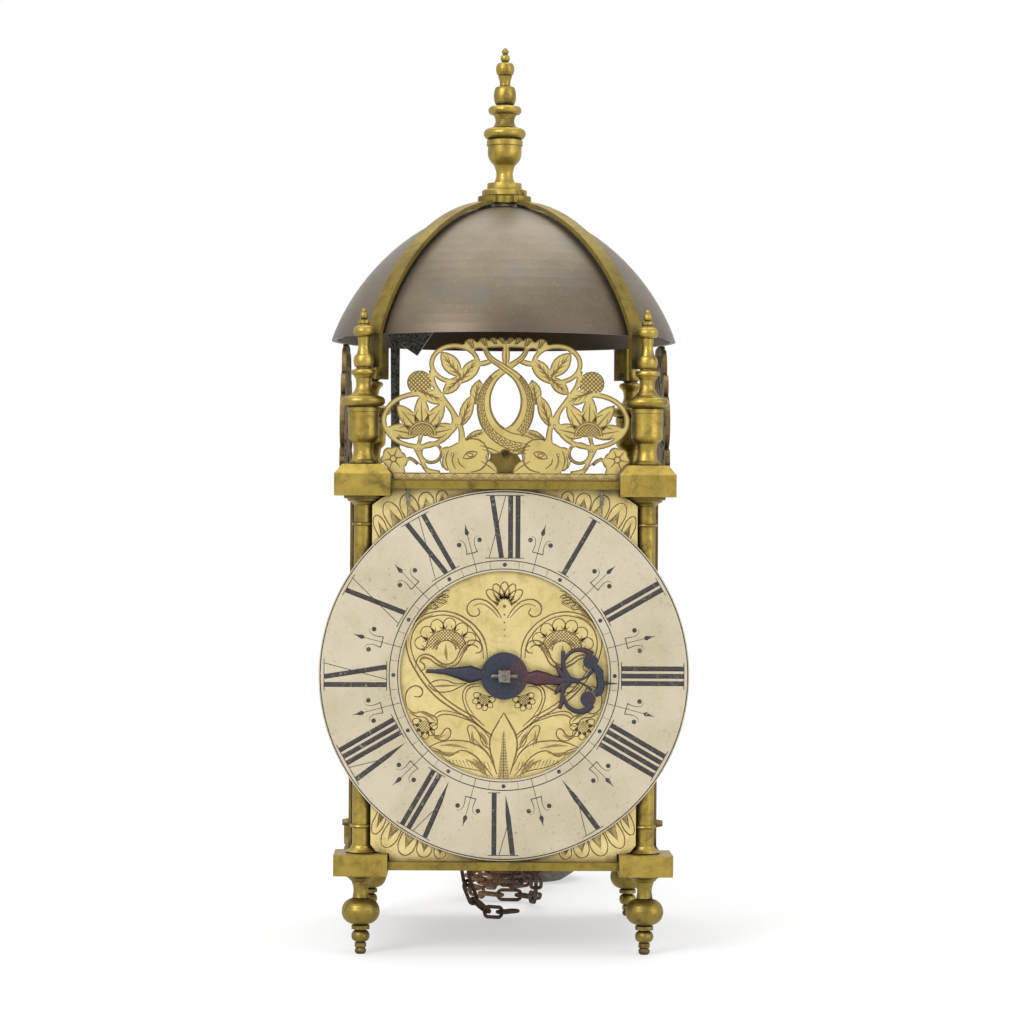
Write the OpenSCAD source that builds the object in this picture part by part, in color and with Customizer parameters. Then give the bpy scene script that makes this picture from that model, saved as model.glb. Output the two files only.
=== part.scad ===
// Lantern clock: a brass posted frame with bell, frets, single hand, verge going train and
// count-wheel striking train. Millimetres, +Z up, front towards -Y, origin on the floor under the bell.

/* [Frame] */
// Distance between pillar centres
pillar_spread = 122; // [118:1:128]
// Height of the turned feet
foot_h = 34.4; // [32:0.2:36]
// Side of the lower square blocks
low_block_w = 23; // [22:0.5:24]
// Side of the upper square blocks
high_block_w = 24; // [23:0.5:25]
// Radius of the slender columns
column_r = 3.85; // [3.4:0.05:4]
// Width of the top and bottom plates
plate_w = 140; // [138:1:142]
// Thickness of the top and bottom plates
plate_t = 3.4; // [2.8:0.1:3.6]

/* [Bell] */
// Radius of the bell at its rim
bell_r = 77.4; // [76:0.1:79]
// Thickness of the bell metal
bell_t = 2.4; // [2:0.1:3]
// Width of the arms of the bell frame
bell_arm_w = 8; // [6:0.5:9]

/* [Dial] */
// Outer radius of the chapter ring
ring_r = 79.4; // [76:0.2:79.4]
// Inner radius of the chapter ring
ring_hole_r = 44.7; // [44:0.1:50]
// Thickness of the chapter ring and of the dial plate
sheet_t = 1.6; // [1.2:0.1:1.8]
// Length of the hour hand from the centre to its tip
hand_l = 47.9; // [44:0.1:48]

/* [Frets] */
// Half the width of a fret
fret_half = 53; // [52:0.5:54]
// Thickness of a fret
fret_t = 2; // [1.5:0.1:2.4]

/* [Trains] */
// Radius of the wheel arbors
arbor_r = 1.3; // [1.1:0.05:1.35]
// Radius of the pivots that run in the bars
pivot_r = 0.8; // [0.6:0.05:0.9]
// Radial running clearance of every pivot
fit = 0.05; // [0.03:0.01:0.08]
// Length of the pendulum from the verge to the middle of the bob
pendulum_l = 148; // [140:1:152]

/* [Drive] */
// Distance from one chain link to the next
link_pitch = 9.3; // [9.2:0.05:9.4]
// Height of the weight without its hook
weight_h = 118; // [100:1:125]

/* [Hidden] */

brass = "#c9a94a";
old_brass = "#b08d3c";
silvered = "#d8d5c6";
bell_metal = "#7d6f60";
blued = "#2b2f4a";
iron = "#4a4642";
rust = "#6b4a33";
lead_grey = "#8b8a80";

half = pillar_spread / 2;
round_n = 96;
bore_n = 48;

low_block_top = foot_h + 9.1;
plate_z = foot_h + 2.4;
plate_top = plate_z + plate_t;
high_block_z = 196.7;
high_block_top = 206.1;
cap_top = 210.2;
cap_w = 17.6;
deck_z = 199.8;
deck_top = deck_z + plate_t;

bell_rim_z = 266.6;
bell_top_z = 327.3;
boss_z = 328.6;
boss_t = 3;
arm_t = 1.8;
boss_top = boss_z + boss_t;

dial_z = (plate_top + deck_z) / 2;
dial_face_y = -65.2;
ring_face_y = dial_face_y - sheet_t;

bar_t = 3;
pivot_l = 2.6;
shared_pivot = 1.3;
bar_half_w = 9;
front_bar_y = -53;
centre_bar_y = -1.5;
back_bar_y = 50;
front_room = [front_bar_y + bar_t, centre_bar_y];
back_room = [centre_bar_y + bar_t, back_bar_y];

// Wheel counts and modules of both trains
great_teeth = 56;
great_module = 1.2;
second_leaves = 7;
second_teeth = 45;
second_module = 1;
contrate_leaves = 7;
contrate_teeth = 36;
contrate_module = 0.8;
crown_leaves = 6;
crown_teeth = 15;
report_leaves = 6;
hour_teeth = 72;
hour_module = 0.8;
strike_teeth = 78;
strike_module = 0.9;
hoop_leaves = 6;
hammer_pins = 13;
hoop_teeth = 56;
warning_leaves = 7;
warning_teeth = 49;
warning_module = 0.7;
fly_leaves = 7;
count_teeth = 48;
count_leaves = 8;
count_module = 1;

function distance(a, b, m) = (a + b) * m / 2;

great_z = dial_z - distance(hour_teeth, report_leaves, hour_module);
second_z = great_z + distance(great_teeth, second_leaves, great_module);
contrate_z = second_z + distance(second_teeth, contrate_leaves, second_module);
hoop_z = great_z + distance(strike_teeth, hoop_leaves, strike_module);
warning_z = hoop_z + distance(hoop_teeth, warning_leaves, strike_module);
fly_z = warning_z + distance(warning_teeth, fly_leaves, warning_module);
count_z = great_z + distance(count_teeth, count_leaves, count_module);
verge_z = 215.3;

crown_y = -24;
crown_r = 14;
crown_pinion_z = contrate_z + contrate_teeth * contrate_module / 2;
sprocket_r = 17.6;
going_sprocket_y = -27;
strike_sprocket_y = 30;

hammer_x = -48;
hammer_z = 110;
hammer_y = 41;
hammer_tail_y = 9.6;
detent_x = 46;
detent_z = 146;
door_x = 66.3;
door_pivot_y = 46;
pendulum_y = 72.4;

// Plates, screws and slots
door_pivot_r = 1;
chain_slot = [14, 24];
fret_screw_u = 30;
fret_screw_in = 61;
front_fret_face = 66;
side_fret_face = 71.6;
fret_screw_r = 0.95;
hammer_slot = [[-53.6, -24], [hammer_y - 4, hammer_y + 4]];
hand_pivot_r = 2;
count_stud_r = 2.4;
count_wheel_y = 54;
frame_pin_r = 0.8;
frame_pin_z = 254.5;
washer_r = 5.7;
flower_at = [-35.6, 19.7];
rosette_at = [-48, 9.4];
fret_band_h = 3.5;

// Hand
hand_arbor_r = 2.5;
hand_y = -70.6;
hand_t = 1.2;
hand_square = 5;
hand_angle = -3.4;
hour_wheel_y = [-57.6, -56];
door_gap = 0.4;

// Going train
great_y = [-13.4, -11];
second_y = [-45.4, -43.6];
report_y = [-60, -54.4];
contrate_r = contrate_teeth * contrate_module / 2;
contrate_web_y = -37;
contrate_tip_y = crown_y - crown_leaves * contrate_module / 2 + 0.6;
contrate_pitch = PI * contrate_module;
crown_tip_z = 212;
crown_base_z = 205;
potence_z = 156.4;
potence_t = 3;

// Verge, cocks and pendulum
verge_r = 1.2;
cock_w = 17;
front_cock_y = -51;
back_cock_y = 64.4;
cock_t = 2.2;
pallet_l = 3;
pallet_angle = 50;
bob_z = verge_z - pendulum_l;
bob_r = 13;
bob_t = 10;
rod_r = 1.1;

// Striking train
strike_y = [4, 6.2];
hoop_y = [13.4, 15];
warning_y = [3, 4.4];
pin_circle_r = 31;
count_rim = 20;

// Weight
weight_r = 28;
weight_at = [18, 200];

// Points along an arc
function arc(c, r, a0, a1, n) =
  [for (i = [0:n]) let (a = a0 + (a1 - a0) * i / n) c + r * [cos(a), sin(a)]];

// Points along a cubic curve
function cubic(a, b, c, d, n = 16) =
  [for (i = [0:n]) let (t = i / n, s = 1 - t)
    s * s * s * a + 3 * s * s * t * b + 3 * s * t * t * c + t * t * t * d];

// A swelling or hollow side of a turned profile, from a to b
function belly(a, b, swell, n = 8) =
  [for (i = [0:n]) let (t = i / n) a + (b - a) * t + [swell * sin(180 * t), 0]];

// A round bead of a turned profile
function bead(r_in, r_out, z0, z1, n = 10) =
  [for (i = [0:n]) let (a = -90 + 180 * i / n)
    [r_in + (r_out - r_in) * cos(a), (z0 + z1) / 2 + (z1 - z0) / 2 * sin(a)]];

// A solid turned on the lathe from its right-hand profile, listed upwards
module turned(side) {
  rotate_extrude($fn = round_n)
    polygon(concat([[0, side[0][1]]], side, [[0, side[len(side) - 1][1]]]));
}

module at_corner(sx, sy) {
  translate([sx * half, sy * half, 0]) children();
}

// Stands a flat drawing upright, seen from the front, with its back face at y
module upright(y, z = 0, x = 0) {
  translate([x, y, z]) rotate([90, 0, 0]) children();
}

// A round bar along the depth of the clock
module rod(x, z, y0, y1, r) {
  upright(y1, z, x) cylinder(r = r, h = y1 - y0, $fn = bore_n);
}

// A smooth curve through points that may also carry a half width
function smooth(p, n = 3) = let (last = len(p) - 1)
  concat([for (i = [0:last - 1], k = [0:n - 1]) let (
      t = k / n, a = p[max(i - 1, 0)], b = p[i], c = p[i + 1], d = p[min(i + 2, last)])
    0.5 * (2 * b + (c - a) * t + (2 * a - 5 * b + 4 * c - d) * t * t
      + (3 * b - a - 3 * c + d) * t * t * t)], [p[last]]);

function heading(p, i) = let (a = p[max(i - 1, 0)], b = p[min(i + 1, len(p) - 1)],
  d = [b.x - a.x, b.y - a.y]) d / norm(d);

// A flat band that follows [x, y, half width] points
module band(points) {
  p = smooth(points);
  last = len(p) - 1;
  polygon(concat(
    [for (i = [0:last]) let (h = heading(p, i)) [p[i].x - h.y * p[i].z, p[i].y + h.x * p[i].z]],
    [for (i = [last:-1:0]) let (h = heading(p, i)) [p[i].x + h.y * p[i].z, p[i].y - h.x * p[i].z]]));
}

// A pointed leaf from a to b
module leaf(a, b, w) {
  d = b - a;
  side = [-d.y, d.x] / norm(d) * w / 2;
  n = 6;
  polygon(concat(
    [for (i = [0:n]) a + d * i / n + side * pow(sin(180 * i / n), 0.8)],
    [for (i = [n - 1:-1:1]) a + d * i / n - side * pow(sin(180 * i / n), 0.8)]));
}

module oval(c, rx, ry, n = 30) {
  polygon([for (i = [0:n - 1]) c + [rx * cos(360 * i / n), ry * sin(360 * i / n)]]);
}

module oval_ring(c, rx, ry, w) {
  difference() {
    oval(c, rx, ry);
    oval(c, rx - w, ry - w);
  }
}

module both_sides() {
  children();
  mirror([1, 0]) children();
}

// Outline of a wheel tooth or pinion leaf: foot, flank, rounded top, as [angle, radius] pairs
function tooth(pitch_a, r, half_share, foot, top, m, round_power) = let (h = pitch_a * half_share)
  concat([[-h, r - foot * m], [-h, r]],
    [for (k = [1:3]) let (t = k / 4) [-h * (1 - pow(t, round_power)), r + top * m * t]],
    [[0, r + top * m]],
    [for (k = [3:-1:1]) let (t = k / 4) [h * (1 - pow(t, round_power)), r + top * m * t]],
    [[h, r], [h, r - foot * m]]);

// Points of a toothed outline with n teeth of module m, one of them at the angle at
function toothed(n, m, at, half_share, foot, top, round_power) =
  [for (i = [0:n - 1], q = tooth(360 / n, n * m / 2, half_share, foot, top, m, round_power))
    let (a = at + 360 * i / n + q.x) q.y * [cos(a), sin(a)]];

// Half a tooth and half a leaf leave a gap of a tenth of the pitch at each side
function wheel_outline(n, m, at) = toothed(n, m, at, 0.22, 1.05, 1, 1.7);
function leaf_outline(n, m, at) = toothed(n, m, at, 0.15, 1.25, 0.5, 2);

// A crossed-out wheel: toothed rim, four arms and a hub
module wheel_sheet(n, m, at, arms = 4) {
  rim = n * m / 2 - 1.05 * m - 2.2;
  hub = 4.6;
  difference() {
    polygon(wheel_outline(n, m, at));
    difference() {
      circle(r = rim, $fn = round_n);
      circle(r = hub, $fn = bore_n);
      for (i = [0:arms - 1]) rotate(at + 360 * i / arms) translate([0, -1.3]) square([rim + 1, 2.6]);
    }
  }
}

module wheel(n, m, at, x, z, y0, y1) {
  upright(y1, z, x) linear_extrude(y1 - y0) wheel_sheet(n, m, at);
  rod(x, z, y0 - 0.8, y1 + 0.8, 3.6);
}

module pinion(n, m, at, x, z, y0, y1) {
  upright(y1, z, x) linear_extrude(y1 - y0) polygon(leaf_outline(n, m, at));
}

// An arbor whose pivots run in the bars at both ends of its room
module arbor(x, z, room) {
  rod(x, z, room[0] + 0.3, room[1] - 0.3, arbor_r);
  rod(x, z, room[0] - (room == back_room ? shared_pivot : pivot_l),
    room[1] + (room == front_room ? shared_pivot : pivot_l), pivot_r);
}

module pivot_hole(x, z, y, r = pivot_r) {
  rod(x, z, y - 0.5, y + bar_t + 0.5, r + fit);
}

// Frame

module pillar(sx, sy) {
  color(brass) at_corner(sx, sy) {
    translate([-low_block_w / 2, -low_block_w / 2, foot_h])
      cube([low_block_w, low_block_w, low_block_top - foot_h]);
    turned(concat(
      [[6.2, low_block_top]], belly([6.6, low_block_top + 0.5], [4.2, low_block_top + 3], -0.5, 5),
      [[column_r, low_block_top + 3.4]],
      bead(column_r, column_r + 1, 54.2, 55.7, 6), bead(column_r, column_r + 1, 183.9, 185.2, 6),
      [[column_r, 192.6]], belly([4.4, 193], [6.7, 194.6], -0.4, 4), [[6.7, 195.2]],
      [[8.2, 195.6], [8.2, high_block_z]]));
    translate([-high_block_w / 2, -high_block_w / 2, high_block_z])
      cube([high_block_w, high_block_w, high_block_top - high_block_z]);
    translate([0, 0, high_block_top]) rotate(45)
      cylinder(d1 = high_block_w * sqrt(2), d2 = cap_w * sqrt(2), h = cap_top - high_block_top, $fn = 4);
  }
}

module foot(sx, sy) {
  color(brass) at_corner(sx, sy) turned(concat(
    [[1.8, 0], [2.4, 0.8], [2.5, 1.6], [1.9, 2.7], [2.5, 3], [2.5, 4.6], [2, 5]],
    bead(2.2, 3.95, 5.3, 10, 8), [[2.6, 10.3], [3.9, 10.6], [3.9, 12.2], [2.9, 12.5]],
    bead(3, 8.2, 12.8, 23.8, 16), belly([3.6, 24.2], [4.1, 31.2], -0.7, 6),
    [[4.5, 31.6]], belly([5, 31.9], [7.2, 33.4], -0.5, 4), [[7.2, foot_h]]));
}

module finial(sx, sy) {
  color(brass) at_corner(sx, sy) turned(concat(
    [[5.4, cap_top]], [[5.9, 210.7], [5.9, 211.6], [5.2, 212.2]],
    belly([5, 212.4], [4.6, 219.2], -0.6, 6), belly([4.8, 219.6], [6.7, 223.4], 0.7, 6),
    [[6.7, 232.5], [7, 232.7], [7, 234.4], [6.4, 234.8]], bead(6.4, 9.4, 235, 239.6, 10),
    belly([5, 240.4], [3.2, 244.8], -0.5, 5), [[3.5, 247], [4.4, 248.3]],
    bead(4.4, 5.4, 248.5, 250.9, 6), [[3.2, 251.3]], bead(3.1, 4.45, 251.7, 257.4, 8),
    belly([3, 257.8], [2.6, 263.8], -0.4, 5), [[2.7, 264.6]], bead(2.6, 4.55, 265, 269.7, 8),
    [[2.2, 270.4], [2.6, 270.8], [2.6, 272], [1.5, 272.4]], bead(1.1, 1.75, 272.6, 275.4, 6),
    [[0.9, 275.7], [1.1, 276.2], [0.7, 277.1]]));
}

// A plate whose corners are cut out round the pillar blocks
module plate_sheet(block_w) {
  difference() {
    square(plate_w, center = true);
    for (sx = [-1, 1], sy = [-1, 1])
      translate([sx * half, sy * half]) square(block_w, center = true);
  }
}

module door_pivot_holes() {
  for (sx = [-1, 1]) translate([sx * door_x, door_pivot_y]) circle(r = door_pivot_r + fit, $fn = bore_n);
}

module fret_screw_places() {
  for (side = [[0, 1], [90, 1], [-90, 1]], u = [-fret_screw_u, fret_screw_u])
    rotate(side.x) translate([u, -fret_screw_in]) children();
}

module top_plate() {
  color(brass) translate([0, 0, deck_z]) linear_extrude(plate_t) difference() {
    plate_sheet(high_block_w);
    door_pivot_holes();
    translate([0, crown_y]) circle(r = arbor_r + fit, $fn = bore_n);
    translate([hammer_slot[0][0], hammer_slot[1][0]])
      square([hammer_slot[0][1] - hammer_slot[0][0], hammer_slot[1][1] - hammer_slot[1][0]]);
    fret_screw_places() circle(r = fret_screw_r, $fn = bore_n);
  }
}

module bottom_plate() {
  color(brass) translate([0, 0, plate_z]) linear_extrude(plate_t) difference() {
    plate_sheet(low_block_w);
    door_pivot_holes();
    for (sx = [-1, 1], y = [going_sprocket_y, strike_sprocket_y])
      translate([sx * (sprocket_r + 1.5), y + 4]) square(chain_slot, center = true);
  }
}

module sheet_between_pillars(y, notch_w) {
  w = pillar_spread / 2 - column_r - 0.3;
  low_notch = low_block_top + 3.6 - plate_top;
  high_notch = deck_z - 192.6;
  upright(y, plate_top) linear_extrude(sheet_t) difference() {
    translate([-w, 0]) square([2 * w, deck_z - plate_top]);
    for (sx = [-1, 1]) {
      translate([sx * half - notch_w / 2, -1]) square([notch_w, low_notch + 1]);
      translate([sx * half - notch_w / 2, deck_z - plate_top - high_notch]) square([notch_w, high_notch + 1]);
    }
    children();
  }
}

module back_plate() {
  color(old_brass) sheet_between_pillars(63.6, high_block_w + 0.4);
}

// A movement bar with an arm to each side that carries the outer arbors
module bar_shape(left_arm_z, right_arm_z) {
  tall = deck_z - plate_top;
  translate([-bar_half_w, 0]) square([2 * bar_half_w, tall]);
  translate([-13, 0]) square([26, 7]);
  translate([-13, tall - 7]) square([26, 7]);
  if (left_arm_z > 0) translate([hammer_x - 5, left_arm_z - plate_top - 5]) square([-hammer_x, 10]);
  if (right_arm_z > 0) translate([0, right_arm_z - plate_top - 5]) square([detent_x + 5, 10]);
}

module bar(y, left_arm_z = 0, right_arm_z = 0) {
  upright(y + bar_t, plate_top) linear_extrude(bar_t) bar_shape(left_arm_z, right_arm_z);
}

module front_bar() {
  color(brass) difference() {
    bar(front_bar_y);
    pivot_hole(0, great_z, front_bar_y, arbor_r);
    pivot_hole(0, dial_z, front_bar_y, hand_pivot_r);
    pivot_hole(0, second_z, front_bar_y);
    pivot_hole(0, contrate_z, front_bar_y);
  }
}

module centre_bar() {
  color(brass) difference() {
    bar(centre_bar_y, hammer_z, detent_z);
    for (z = [great_z, second_z, contrate_z, warning_z, fly_z]) pivot_hole(0, z, centre_bar_y);
    pivot_hole(hammer_x, hammer_z, centre_bar_y);
    pivot_hole(detent_x, detent_z, centre_bar_y);
  }
}

module back_bar() {
  color(brass) {
    difference() {
      bar(back_bar_y, hammer_z, detent_z);
      pivot_hole(0, great_z, back_bar_y, arbor_r);
      for (z = [hoop_z, warning_z, fly_z]) pivot_hole(0, z, back_bar_y);
      pivot_hole(hammer_x, hammer_z, back_bar_y);
      pivot_hole(detent_x, detent_z, back_bar_y, arbor_r);
    }
    rod(0, count_z, back_bar_y + bar_t, count_wheel_y + 6, count_stud_r);
  }
}

// Bell

function bell_side(rim, shoulder, top, flat_r, shoulder_z) =
  cubic([0, top], [flat_r, top], [shoulder, shoulder_z], [rim, bell_rim_z], 20);

module bell() {
  stud_hole = 2.9;
  outer = bell_side(bell_r, bell_r - 8.3, bell_top_z, 40, 292.4);
  inner = bell_side(bell_r - bell_t, bell_r - 10.6, bell_top_z - bell_t - 0.4, 39, 291.4);
  color(bell_metal) difference() {
    rotate_extrude($fn = round_n) polygon(concat(outer, [for (i = [len(inner) - 1:-1:0]) inner[i]]));
    translate([0, 0, bell_top_z - 8]) cylinder(r = stud_hole, h = 12, $fn = bore_n);
  }
}

module bell_frame() {
  leg_end_z = 252;
  inner = bell_side(bell_r + 1.6, bell_r - 6.3, boss_z, 41, 293.4);
  outer = bell_side(bell_r + 1.6 + arm_t, bell_r - 4.4, boss_z + arm_t, 42, 294.4);
  color(brass) difference() {
    union() {
      for (a = [45:90:315]) rotate(a) upright(bell_arm_w / 2) linear_extrude(bell_arm_w)
        polygon(concat([[0, boss_z + arm_t]], outer, [[bell_r + 1.6 + arm_t, leg_end_z],
          [bell_r + 1.6, leg_end_z]], [for (i = [len(inner) - 1:-1:0]) inner[i]]));
      translate([0, 0, boss_z]) linear_extrude(boss_t) difference() {
        circle(r = 13.2, $fn = round_n);
        for (a = [0:90:270]) rotate(a) translate([14.6, 0]) circle(r = 4.6, $fn = bore_n);
        for (a = [0:90:270], s = [-1, 1])
          rotate(a + s * 22) translate([13.6, 0]) circle(r = 1.5, $fn = bore_n);
      }
    }
    translate([0, 0, boss_z - 1]) cylinder(r = 2.6, h = boss_t + 2, $fn = bore_n);
    translate([0, 0, boss_z - 1]) cylinder(r = washer_r + 0.2, h = 1, $fn = round_n);
    for (a = [45:90:315]) rotate(a) frame_pin_bore(frame_pin_r + 0.02);
  }
}

module frame_pin_bore(r) {
  translate([bell_r, 0, frame_pin_z]) rotate([0, 90, 0]) cylinder(r = r, h = 6, $fn = bore_n);
}

module bell_frame_pins() {
  color(iron) for (a = [45:90:315]) rotate(a) translate([bell_r + 0.6, 0, frame_pin_z])
    rotate([0, 90, 0]) cylinder(r = frame_pin_r, h = 2.9, $fn = bore_n);
}

module bell_washer_and_nut() {
  color(silvered) {
    translate([0, 0, bell_top_z]) difference() {
      cylinder(r = washer_r, h = boss_z - bell_top_z, $fn = round_n);
      translate([0, 0, -1]) cylinder(r = 2.6, h = 4, $fn = bore_n);
    }
    translate([0, 0, bell_top_z - bell_t - 3.6]) difference() {
      cylinder(r = 5.4, h = 3, $fn = 6);
      translate([0, 0, -1]) cylinder(r = 2.45, h = 5, $fn = bore_n);
    }
  }
}

module top_finial() {
  color(brass) {
    turned(concat(
      [[9.6, boss_top], [10.2, 332.2], [10.2, 334.5], [9.4, 335], [7.9, 335.2]],
      [[7.7, 337.9], [4.7, 338.3]], belly([4.6, 338.5], [4.6, 345.7], -0.9, 6),
      belly([4.8, 346.1], [7.6, 351.7], 0.8, 6), [[7.6, 354.8], [8.1, 355], [8.1, 357.3], [7, 357.6]],
      bead(7, 9.5, 357.9, 362.8, 10), belly([5.2, 363.5], [5.2, 368.9], -1, 5),
      bead(6, 7.5, 369.1, 372.7, 6), [[3.6, 373.1]], bead(3.8, 5.05, 373.5, 381.5, 8),
      belly([2.4, 382.1], [3.2, 386.3], -0.3, 4), bead(2.8, 4.15, 386.7, 392.3, 8),
      [[1.4, 392.6]], bead(1.3, 2.1, 392.9, 395.9, 6), [[1.1, 396.2]], bead(1, 1.6, 396.4, 398.3, 5),
      [[0.6, 399]]));
    stud_z = bell_top_z - bell_t - 4.6;
    translate([0, 0, stud_z]) cylinder(r = 2.4, h = boss_top + 0.2 - stud_z, $fn = bore_n);
  }
}

// Frets: two crossed dolphins among scrolls and flowers, drawn about the middle of their foot

module flower() {
  translate(flower_at) {
    for (tip = [[-14.9, 2.6], [-10.6, 12.4], [-0.6, 16.6], [9, 13], [14.6, 3.2]])
      leaf(tip * 0.05, tip * 1.06, 6.8);
    intersection() {
      circle(r = 8.6, $fn = 40);
      translate([-9, -0.6]) square([18, 10]);
    }
    band([[-0.6, 0, 1], [-1.6, -4, 0.8], [-3.4, -6.4, 1]]);
  }
}

module rosette() {
  translate(rosette_at) {
    circle(r = 2.6, $fn = 16);
    for (i = [0:5]) rotate(60 * i + 10) translate([3, 0]) circle(r = 2.5, $fn = 16);
    translate([3.2, -1]) circle(r = 3, $fn = 16);
    polygon([[-1.2, -3], [4.6, -3], [5.4, -6.4], [-1.2, -6.4]]);
  }
}

module dolphin_body() {
  band([[9.4, 57.6, 1], [6.7, 52.8, 1.2], [0.3, 48.4, 1.5], [-5.3, 44, 2], [-9, 36.9, 2.8],
    [-8.9, 28.9, 3.3], [-5.3, 21.9, 3.8], [1.1, 17.6, 4.2], [8.8, 15.6, 4.4], [15, 12.4, 4]]);
}

module dolphin_head() {
  oval([-15.2, 11.2], 7.4, 7.6);
  oval([-24.6, 8.2], 2.6, 3.9, 16);
  oval([-21.6, 7], 2.6, 3.6, 16);
  oval([-24.8, 12.8], 2.6, 2, 14);
  band([[-20, 15, 1.6], [-24, 13.4, 1.2], [-27.5, 13.2, 0.7]]);
  leaf([-11, 9], [-2.9, 3.6], 5);
  leaf([-11, 6], [-4.4, 2.4], 4);
  leaf([-12, 16], [-1.4, 12.2], 5);
  translate([-24, fret_band_h - 1]) square([20, 3]);
}

module scrollwork() {
  oval_ring([-37.1, 25.9], 16.2, 12.4, 2.2);
  oval_ring([-21.9, 50.2], 11, 8.8, 2.1);
  band([[-32, 47.4, 1], [-30.6, 41, 1.1], [-26.7, 35.3, 1.1], [-22.8, 29.7, 1.2], [-19.2, 23, 1.2],
    [-18.6, 16, 1.6]]);
  leaf([-19, 44.4], [-28, 55.4], 7.4);
  leaf([-19.6, 42.6], [-11.6, 52.6], 6);
  leaf([-18.6, 44.8], [-27.2, 37], 5.6);
  leaf([-19.2, 23], [-14.4, 37], 5.8);
  leaf([-13.2, 32.6], [-11.2, 43.6], 6.4);
  oval([-36.9, 42], 5.4, 5.2);
  leaf([-37, 38.6], [-25.6, 33.4], 6);
  leaf([-17.6, 17.4], [-7.6, 21.8], 4.2);
}

module small_scrolls() {
  oval_ring([-31.8, 12], 5.2, 4.9, 1.5);
  band([[-38.5, 13.8, 0.9], [-36, 9, 0.9], [-33.6, 4.6, 1.1], [-28, 3.4, 1]]);
  band([[-44, 7, 1], [-41, 9.6, 0.8], [-37.4, 7.2, 0.8]]);
}

module crest() {
  for (lobe = [[-15.2, 58.2, 2.9], [-9.6, 59, 2.5], [-5.4, 59.6, 2], [-2, 59.8, 1.8]])
    translate([lobe.x, lobe.y]) circle(r = lobe.z, $fn = 18);
  band([[-18, 57.4, 1.2], [-12, 58.2, 1.4], [-6, 58.6, 1.4], [0, 58.8, 1.4]]);
  band([[-13.5, 50, 0.9], [-9, 50.6, 1.2], [-5.6, 51.8, 0.9]]);
}

module fret_shape() {
  difference() {
    union() {
      translate([-48.2, 0]) square([96.4, fret_band_h]);
      both_sides() {
        scrollwork();
        small_scrolls();
        flower();
        rosette();
        dolphin_body();
        dolphin_head();
        crest();
      }
      leaf([0, 48], [0, 60], 3.6);
    }
    // Room for the blocks and their sloping caps
    both_sides() polygon([[48.6, -1], [48.6, 3.2], [52.4, 7.6], [60, 7.6], [60, -1]]);
    both_sides() translate([-pillar_spread / 2, 34]) circle(r = 9.8, $fn = 32);
  }
}

// A fret with its outer face this far from the clock's axis, turned to the side it stands on
module fret(turn, face) {
  color(brass) rotate(turn) {
    upright(fret_t - face, deck_top) linear_extrude(fret_t) fret_shape();
    for (u = [-fret_screw_u, fret_screw_u]) translate([u - 3, fret_t - face, deck_top]) difference() {
      cube([6, face - fret_screw_in + 1, 1.2]);
      translate([3, face - fret_screw_in - fret_t, -1]) cylinder(r = fret_screw_r, h = 4, $fn = bore_n);
    }
  }
}

module fret_screws() {
  color(iron) translate([0, 0, deck_top + 1.2]) fret_screw_places() {
    translate([0, 0, -4.4]) cylinder(r = fret_screw_r - 0.05, h = 4.6, $fn = bore_n);
    difference() {
      cylinder(r = 1.9, h = 1.1, $fn = bore_n);
      translate([-2.5, -0.3, 0.6]) cube([5, 0.6, 1]);
    }
  }
}

// Dial and hand

module dial_plate() {
  color(brass) difference() {
    sheet_between_pillars(dial_face_y + sheet_t, high_block_w + 0.4);
    rod(0, dial_z, dial_face_y - 1, dial_face_y + sheet_t + 1, hand_arbor_r + fit);
  }
}

module chapter_ring() {
  color(silvered) upright(dial_face_y, dial_z) linear_extrude(sheet_t) difference() {
    circle(r = ring_r, $fn = 180);
    circle(r = ring_hole_r, $fn = 180);
  }
}

module dial_pins() {
  color(iron) for (x = [-41.6, 41.4]) translate([x, ring_face_y - 1.1, deck_z - 7]) {
    cylinder(r = 0.7, h = 7, $fn = bore_n);
  }
}

module hand_shape() {
  circle(r = 10.2, $fn = 48);
  band([[-8, 0, 3.2], [-13, 0, 1.6], [-18, 0, 3], [-22, 0, 3.3], [-28, 0, 1.6], [-33.3, 0, 1.1]]);
  band([[8, 0, 3.2], [11.5, 0, 2], [15, 0, 3.3], [18.5, 0, 2.6], [22, 0, 1.4], [27, 0, 1.4]]);
  band([[38, 0, 1.2], [40, 0, 2.6], [42, 0, 1.6], [hand_l, 0, 0.4]]);
  both_sides_up() {
    band([[19, 0, 1], [22, 3.4, 1], [25.6, 5, 0.5]]);
    band([[26, 0.6, 1.4], [28, 4, 1.2], [28.2, 8, 1.2], [31.5, 11.4, 1.2], [36, 10.6, 1.1], [38.4, 7, 1]]);
    translate([36.6, 6.6]) circle(r = 2.3, $fn = 20);
    band([[28, 4, 1.1], [32.4, 2.4, 1], [36, 2.4, 1.1], [39, 1, 1.4]]);
    band([[27, 0, 1.3], [33, 1.4, 1], [39, 0.4, 1.2]]);
  }
}

module both_sides_up() {
  children();
  mirror([0, 1]) children();
}

module hour_hand() {
  color(blued) upright(hand_y + hand_t, dial_z) linear_extrude(hand_t) difference() {
    rotate(hand_angle) offset(delta = 0.1) offset(delta = -0.1) hand_shape();
    square(hand_square + 0.1, center = true);
  }
}

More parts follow.
